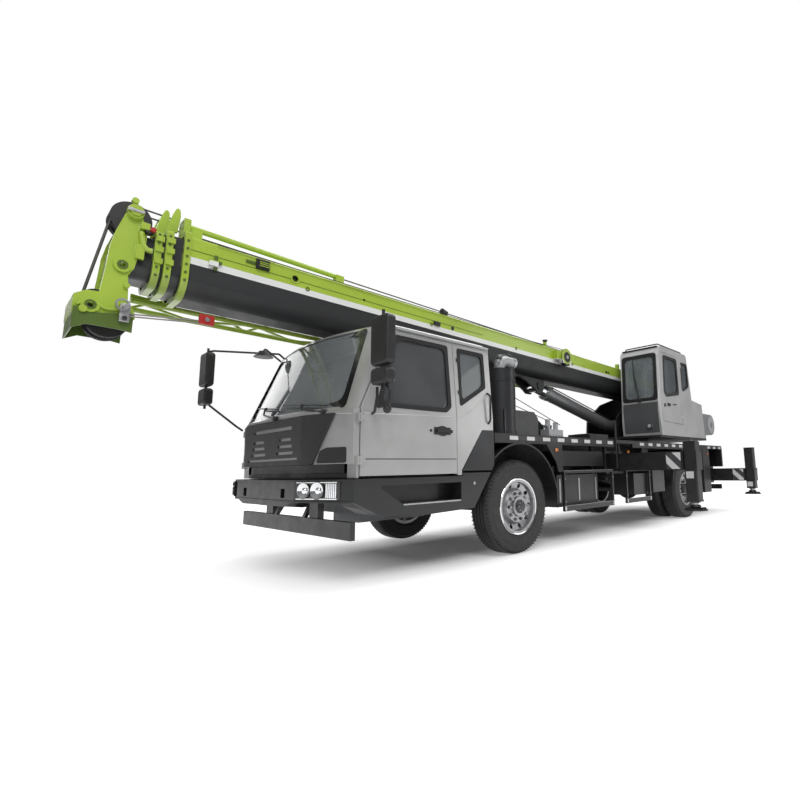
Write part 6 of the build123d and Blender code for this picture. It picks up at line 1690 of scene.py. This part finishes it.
    def _cylinder(self) -> None:
        """Makes the gland, pins and pipes of the lift cylinder."""
        foot, reach = Vector((-3.000, 0.0, 1.640)), Vector(BOOM.at(3.970, 0.0, -0.378)) - Vector((-3.000, 0.0, 1.640))
        run = reach.normalized()
        side = run.cross(Vector((0, 1, 0))).normalized()
        piece = Piece("lift_cylinder_fittings", "luff_barrel",
                      [Tone.GREY_CYLINDER, Tone.STEEL, Tone.HOSE, Tone.LIGHT_GREY])
        end = reach.length - 0.290
        for index in range(12):
            turn = Matrix.Rotation(2 * math.pi * index / 12, 3, run) @ side
            spot = foot + run * end + turn * 0.104
            piece.rod(spot - run * 0.006, spot + run * 0.012, 0.010, 1, 6)
        for offset in (-0.030, 0.030):
            across = Vector((0, offset, 0)) + side * (0.122 if side.z > 0 else -0.122)
            piece.tube([foot + run * 0.20 + across * 0.9, foot + run * 0.26 + across * 1.08,
                        foot + run * (end - 0.20) + across * 1.08,
                        foot + run * (end - 0.14) + across * 0.92], 0.010, 2, 8)
        for along in (0.6, 1.2, 1.8, 2.2):
            piece.rod(foot + run * along, foot + run * (along + 0.030), 0.1125, 0, 40)
        piece.box(foot + run * 0.12 + Vector((-0.05, -0.05, 0.09)), foot + run * 0.12 + Vector((0.07, 0.05, 0.17)), 3,
                  0.008)
        piece.done()


@dataclass
class DeckTrim:
    """Reflective tape, rails, markers, boxes and stays on the carrier's deck and sides."""

    edge_y: float = 1.235
    tape_z: Pair = (1.262, 1.306)
    dash: float = 0.150
    tape_runs: tuple = ((-0.62, 1.72), (-3.10, -1.34), (-5.10, -4.15))

    def build(self) -> None:
        """Makes the deck's trim."""
        self._tape()
        self._rails()
        self._boxes()
        self._stack()

    def _tape(self) -> None:
        """Makes the dashes of tape along the deck's edges, light and dark in turn."""
        piece = Piece("edge_tape", "chassis", [Tone.PLATE_WHITE, Tone.RED_TAPE, Tone.CHARCOAL])
        for sign in SIDES.values():
            for start, end in self.tape_runs:
                steps = int((end - start) / self.dash)
                for index in range(steps):
                    x = start + index * self.dash
                    y = sign * (self.edge_y + 0.0005)
                    piece.box((x + 0.004, y - 0.001, self.tape_z[0]),
                              (x + self.dash - 0.004, y + 0.001, self.tape_z[1]),
                              0 if index % 2 == 0 else 2)
        piece.done()

    def _rails(self) -> None:
        """Makes the bright edges of the side guards, the hand posts and the side markers."""
        piece = Piece("side_rails", "chassis", [Tone.LIGHT_GREY, Tone.PLATE_WHITE, Tone.AMBER, Tone.TRIM, Tone.STEEL])
        for sign in SIDES.values():
            for rear, front in ((-0.600, 0.610), (-1.760, -0.975 if sign > 0 else -1.215)):
                for low in (0.462, 0.900):
                    piece.plate((rear, front), sign * 1.2100, 0.020, (low - 0.001, low + 0.003), 0, 0.001)
                for x in (rear, front - 0.034):
                    piece.plate((x, x + 0.034), sign * 1.2305, 0.001, (0.41, 0.462), 1)
                    for z in (0.52, 0.80):
                        piece.bolt((x + 0.017, z), (sign * 1.228, sign * 1.238), 0.008, 4, 6)
            piece.post((-0.690, sign * 1.247), (0.92, 1.560), 0.0125, 3, 12)
            for x in (0.765, -1.05, -4.30):
                piece.plate((x - 0.030, x + 0.030), sign * 1.243, 0.005, (1.142, 1.178), 2, 0.003)
        piece.done()

    def _boxes(self) -> None:
        """Makes lids, latches and louvres on the deck's boxes, tank and battery box."""
        piece = Piece("deck_fittings", "chassis",
                      [Tone.LIGHT_GREY, Tone.TRIM, Tone.STEEL, Tone.CHARCOAL, Tone.TREAD_PLATE])
        for x in (0.36, 0.42, 0.48, 0.54, 0.60):
            piece.bolt((x, 1.36), (1.040, 1.052), 0.014, 2, 6)
            piece.post((x, 0.86), (1.440, 1.485), 0.010, 1, 10)
            piece.ball((x, 0.86, 1.500), 0.017, 1)
        for sign in SIDES.values():
            for x in (-0.36, 0.06, 0.50):
                piece.plate((x - 0.015, x + 0.015), sign * 1.0775, 0.004, (0.50, 0.80), 2, 0.002)
            piece.post((0.30, sign * 0.95), (0.848, 0.880), 0.045, 1, 24, bevel=0.004)
            for x in (-0.42, 0.10, 0.52):
                piece.band((0.1005, 0.1045), 0.012, (x, sign * 0.9775, 1.06), (1, 0, 0), 2, 8)
        for x, y in ((-0.62, 0.80), (-0.50, 0.80)):
            piece.box((x - 0.045, y - 0.12, 1.423), (x + 0.045, y + 0.12, 1.435), 0, 0.004)
        for row in range(6):
            x = 1.08 + 0.09 * row
            piece.box((x, -1.137, 1.40), (x + 0.05, -1.133, 1.58), 1, 0.001)
        for x in (-1.9, -1.4, -0.9, -0.3, 1.2):
            piece.box((x - 0.010, -0.60, 1.328), (x + 0.010, 0.60, 1.334), 4, 0.001)
        piece.done()

    def _stack(self) -> None:
        """Makes the air stack's ribs, clamps and elbow, and its two stays."""
        piece = Piece("stack_fittings", "chassis",
                      [Tone.TRIM, Tone.CHROME, Tone.STEEL, Tone.CHARCOAL, Tone.LIGHT_GREY])
        x, y = 1.550, 1.045
        for index in range(17):
            z = 1.50 + 0.026 * index
            piece.ring([(0.160, -0.010), (0.1680, -0.005), (0.1680, 0.005), (0.160, 0.010)], (x, y, z), (0, 0, 1), 0,
                       48)
        for z in (1.44, 1.985, 2.055):
            piece.band((0.160, 0.1710), 0.010, (x, y, z), (0, 0, 1), 3, 48)
        for z in (2.112, 2.190):
            piece.band((0.040, 0.0515), 0.012, (x + 0.040, y, z), (0, 0, 1), 2, 32)
        piece.tube([(x + 0.040, y, 2.086), (x + 0.040, y, 2.190)], 0.048, 1, 24)
        bend = [(x - 0.090 + 0.110 * math.cos(angle), y, 2.100 + 0.110 * math.sin(angle))
                for angle in (math.radians(15 * step) for step in range(7))]
        piece.tube([(x + 0.020, y, 2.060), *bend, (x - 0.240, y, 2.202)], 0.062, 4, 24, 2)
        piece.band((0.057, 0.068), 0.012, (x - 0.205, y, 2.204), (1, 0, 0.05), 2, 32)
        for start, end in (((1.40, 1.13, 1.765), (0.479, 1.10, 1.495)), ((1.40, 0.98, 1.740), (0.560, 0.96, 1.560))):
            piece.rod(start, end, 0.005, 3, 8)
        piece.done()


@dataclass
class Outriggers:
    """End plates with stripes, blank plates, caps and glands of the four outriggers."""

    front_jack_y: float = 2.285
    rear_jack_y: float = 1.830
    half_jack: float = 0.0825
    rows: tuple = (("front", "left", -0.840), ("front", "right", -1.080), ("rear", "left", -4.970),
                   ("rear", "right", -4.730))

    def build(self) -> None:
        """Makes every outrigger's trim."""
        for end, side, x in self.rows:
            sign = SIDES[side]
            y = self.front_jack_y if end == "front" else self.rear_jack_y
            low = 0.880 if end == "front" else 0.610
            top = 1.250 if end == "front" else 1.270
            self._beam(end, side, sign, x, y, low, top)
            self._jack(end, side, sign, x, y)

    def _beam(self, end: str, side: str, sign: int, x: float, y: float, low: float, top: float) -> None:
        """Makes the stripes and the blank plate of one beam, and the cap of a front one."""
        piece = Piece(f"outrigger_trim_{end}_{side}", f"outrigger_{end}_{side}",
                      [Tone.END_STRIPES, Tone.PLATE_WHITE, Tone.TRIM, Tone.TRIM, Tone.CHARCOAL, Tone.STEEL])
        piece.plate((x + 0.0995, x + 0.1020), sign * (y - 0.215), 0.100, (low + 0.015, low + 0.235), 0)
        piece.plate((x + self.half_jack, x + self.half_jack + 0.005), sign * (y - 0.010), 0.050,
                    (low - 0.110, low - 0.020), 1, 0.001)
        if end == "front":
            piece.plate((x - 0.070, x + 0.070), sign * y, 0.070, (top - 0.001, top + 0.010), 4, 0.004)
            piece.post((x, sign * y), (top + 0.008, top + 0.026), 0.024, 5, 6)
        for z in (0.470, 0.508):
            piece.band((0.048, 0.066), 0.006, (x, sign * y, z - 0.012), (0, 0, 1), 4, 28)
        piece.done()

    def _jack(self, end: str, side: str, sign: int, x: float, y: float) -> None:
        """Makes the ball neck and the rim of one foot plate."""
        piece = Piece(f"jack_trim_{end}_{side}", f"jack_{end}_{side}", [Tone.DARK_STEEL, Tone.CHASSIS])
        piece.ring([(0.138, 0.001), (0.1495, 0.001), (0.1495, 0.013), (0.144, 0.018), (0.138, 0.014)],
                   (x, sign * y, 0.350), (0, 0, 1), 1, 48)
        piece.ring([(0.046, 0.070), (0.068, 0.066), (0.072, 0.050), (0.062, 0.036), (0.050, 0.034)],
                   (x, sign * y, 0.350), (0, 0, 1), 0, 32)
        before = piece.count
        piece.plate((x + 0.078, x + 0.132), sign * y, 0.005, (0.364, 0.392), 1, 0.002)
        piece.copy_turned(6, (x, sign * y, 0.0), (0, 0, 1), before)
        piece.done()


@dataclass
class Superstructure:
    """Bolts, covers, drum ends and pipes on the turntable and round the winches."""

    plate_y: float = 0.335
    drums: tuple = ((-3.750, 1.760), (-4.230, 1.800))

    def build(self) -> None:
        """Makes the turntable's trim."""
        piece = Piece("turntable_fittings", "turntable",
                      [Tone.CHASSIS, Tone.STEEL, Tone.HOSE, Tone.LIGHT_GREY, Tone.CHARCOAL, Tone.GREY_CASTING])
        for index in range(40):
            turn = 2 * math.pi * index / 40
            spot = (-2.920 + 0.575 * math.cos(turn), 0.575 * math.sin(turn))
            if abs(spot[1]) > 0.36:
                piece.rod((*spot, 1.418), (*spot, 1.4295), 0.014, 1, 6)
        for sign in SIDES.values():
            for x, z in ((-4.45, 2.30), (-4.20, 2.10), (-3.60, 2.20), (-3.30, 2.05), (-2.75, 1.80)):
                piece.bolt((x, z), (sign * (self.plate_y - 0.004), sign * (self.plate_y + 0.012)), 0.026, 0, 16,
                           bevel=0.003)
            piece.bolt((-4.33, 2.54), (sign * 0.350, sign * 0.372), 0.078, 1, 32, bevel=0.005)
            for offset in (0.0, 0.035, 0.070):
                piece.tube([(-3.95, sign * 0.347, 1.62 + offset), (-3.30, sign * 0.347, 1.62 + offset),
                            (-2.70, sign * 0.347, 1.56 + offset)], 0.010, 2, 8)
            piece.bolt((-4.895, 1.775), (sign * 1.1505, sign * 1.156), 0.180, 3, 48, bevel=0.003)
            piece.bolt((-4.895, 1.775), (sign * 1.152, sign * 1.162), 0.060, 5, 32, bevel=0.004)
        piece.done()
        winch = Piece("winch_fittings", "turntable", [Tone.STEEL, Tone.LIGHT_GREY, Tone.TRIM])
        for x, z in self.drums:
            winch.bolt((x, z), (0.300, 0.346), 0.120, 1, 32, bevel=0.006)
            before = winch.count
            winch.bolt((x + 0.09, z), (0.340, 0.352), 0.010, 0, 6)
            winch.copy_turned(8, (x, 0.0, z), (0, 1, 0), before)
        winch.done()


ASSEMBLIES: list[type] = [
    RoundedPanels, Wheels, CabTrim, OperatorTrim, BoomTrim, DeckTrim, Outriggers, Superstructure]


# ---------------------------------------------------------------- putting it together
def dress_nodes() -> None:
    """Gives every CAD node its finish."""
    both = [f"{name}_{side}" for side in SIDES for name in ("cab_door",)]
    dress(["chassis_frame", "outrigger_boxes", "deck", "leaf_springs", "front_axle", "rear_axle", "cab_floor",
           "steering_knuckle_left", "steering_knuckle_right", "turntable"], Tone.CHASSIS)
    dress(["engine", "counterweight"], Tone.GREY_CASTING)
    dress(["cab_front_wall", "cab_rear_wall", "cab_sides", "cab_roof", *both], Tone.SILVER)
    dress(["operator_cab", "operator_door"], Tone.SILVER_LIGHT)
    dress(["cab_glass"], Tone.WINDSCREEN)
    dress(["cab_door_glass_left", "cab_door_glass_right"], Tone.SIDE_GLASS)
    dress(["operator_glass", "operator_door_glass"], Tone.CRANE_GLASS)
    dress(["cab_interior", "operator_seat"], Tone.DASH)
    dress(["front_bumper", "side_equipment"], Tone.CHARCOAL)
    dress(["grille"], Tone.GRILLE)
    dress(["mirror_left", "mirror_right", "air_intake"], Tone.TRIM)
    dress(["lamps"], Tone.HEADLAMP)
    dress(["winches"], Tone.DRUM_ROPE)
    dress(["boom_base", "boom_section_2", "boom_section_3"], Tone.BOOM)
    dress(["boom_head", "stowed_jib"], Tone.LIME)
    dress(["sheaves"], Tone.TRIM)
    dress(["luff_cylinder_barrel"], Tone.GREY_CYLINDER)
    dress(["luff_cylinder_rod"], Tone.CHROME)
    for side in SIDES:
        dress([f"tyre_front_{side}", f"tyre_rear_{side}"], Tone.TYRE)
        dress([f"rim_front_{side}", f"rim_rear_{side}"], Tone.ALUMINIUM)
        for end in ("front", "rear"):
            dress([f"outrigger_beam_{end}_{side}"], Tone.CHASSIS)
            dress([f"outrigger_jack_{end}_{side}"], Tone.STEEL)


def main() -> None:
    """Builds the whole scene, one sub-assembly after another."""
    logging.basicConfig(level=logging.INFO, format="%(name)s: %(message)s")
    Studio().build()
    dress_nodes()
    for assembly in ASSEMBLIES:
        assembly().build()


if __name__ == "__main__":
    main()
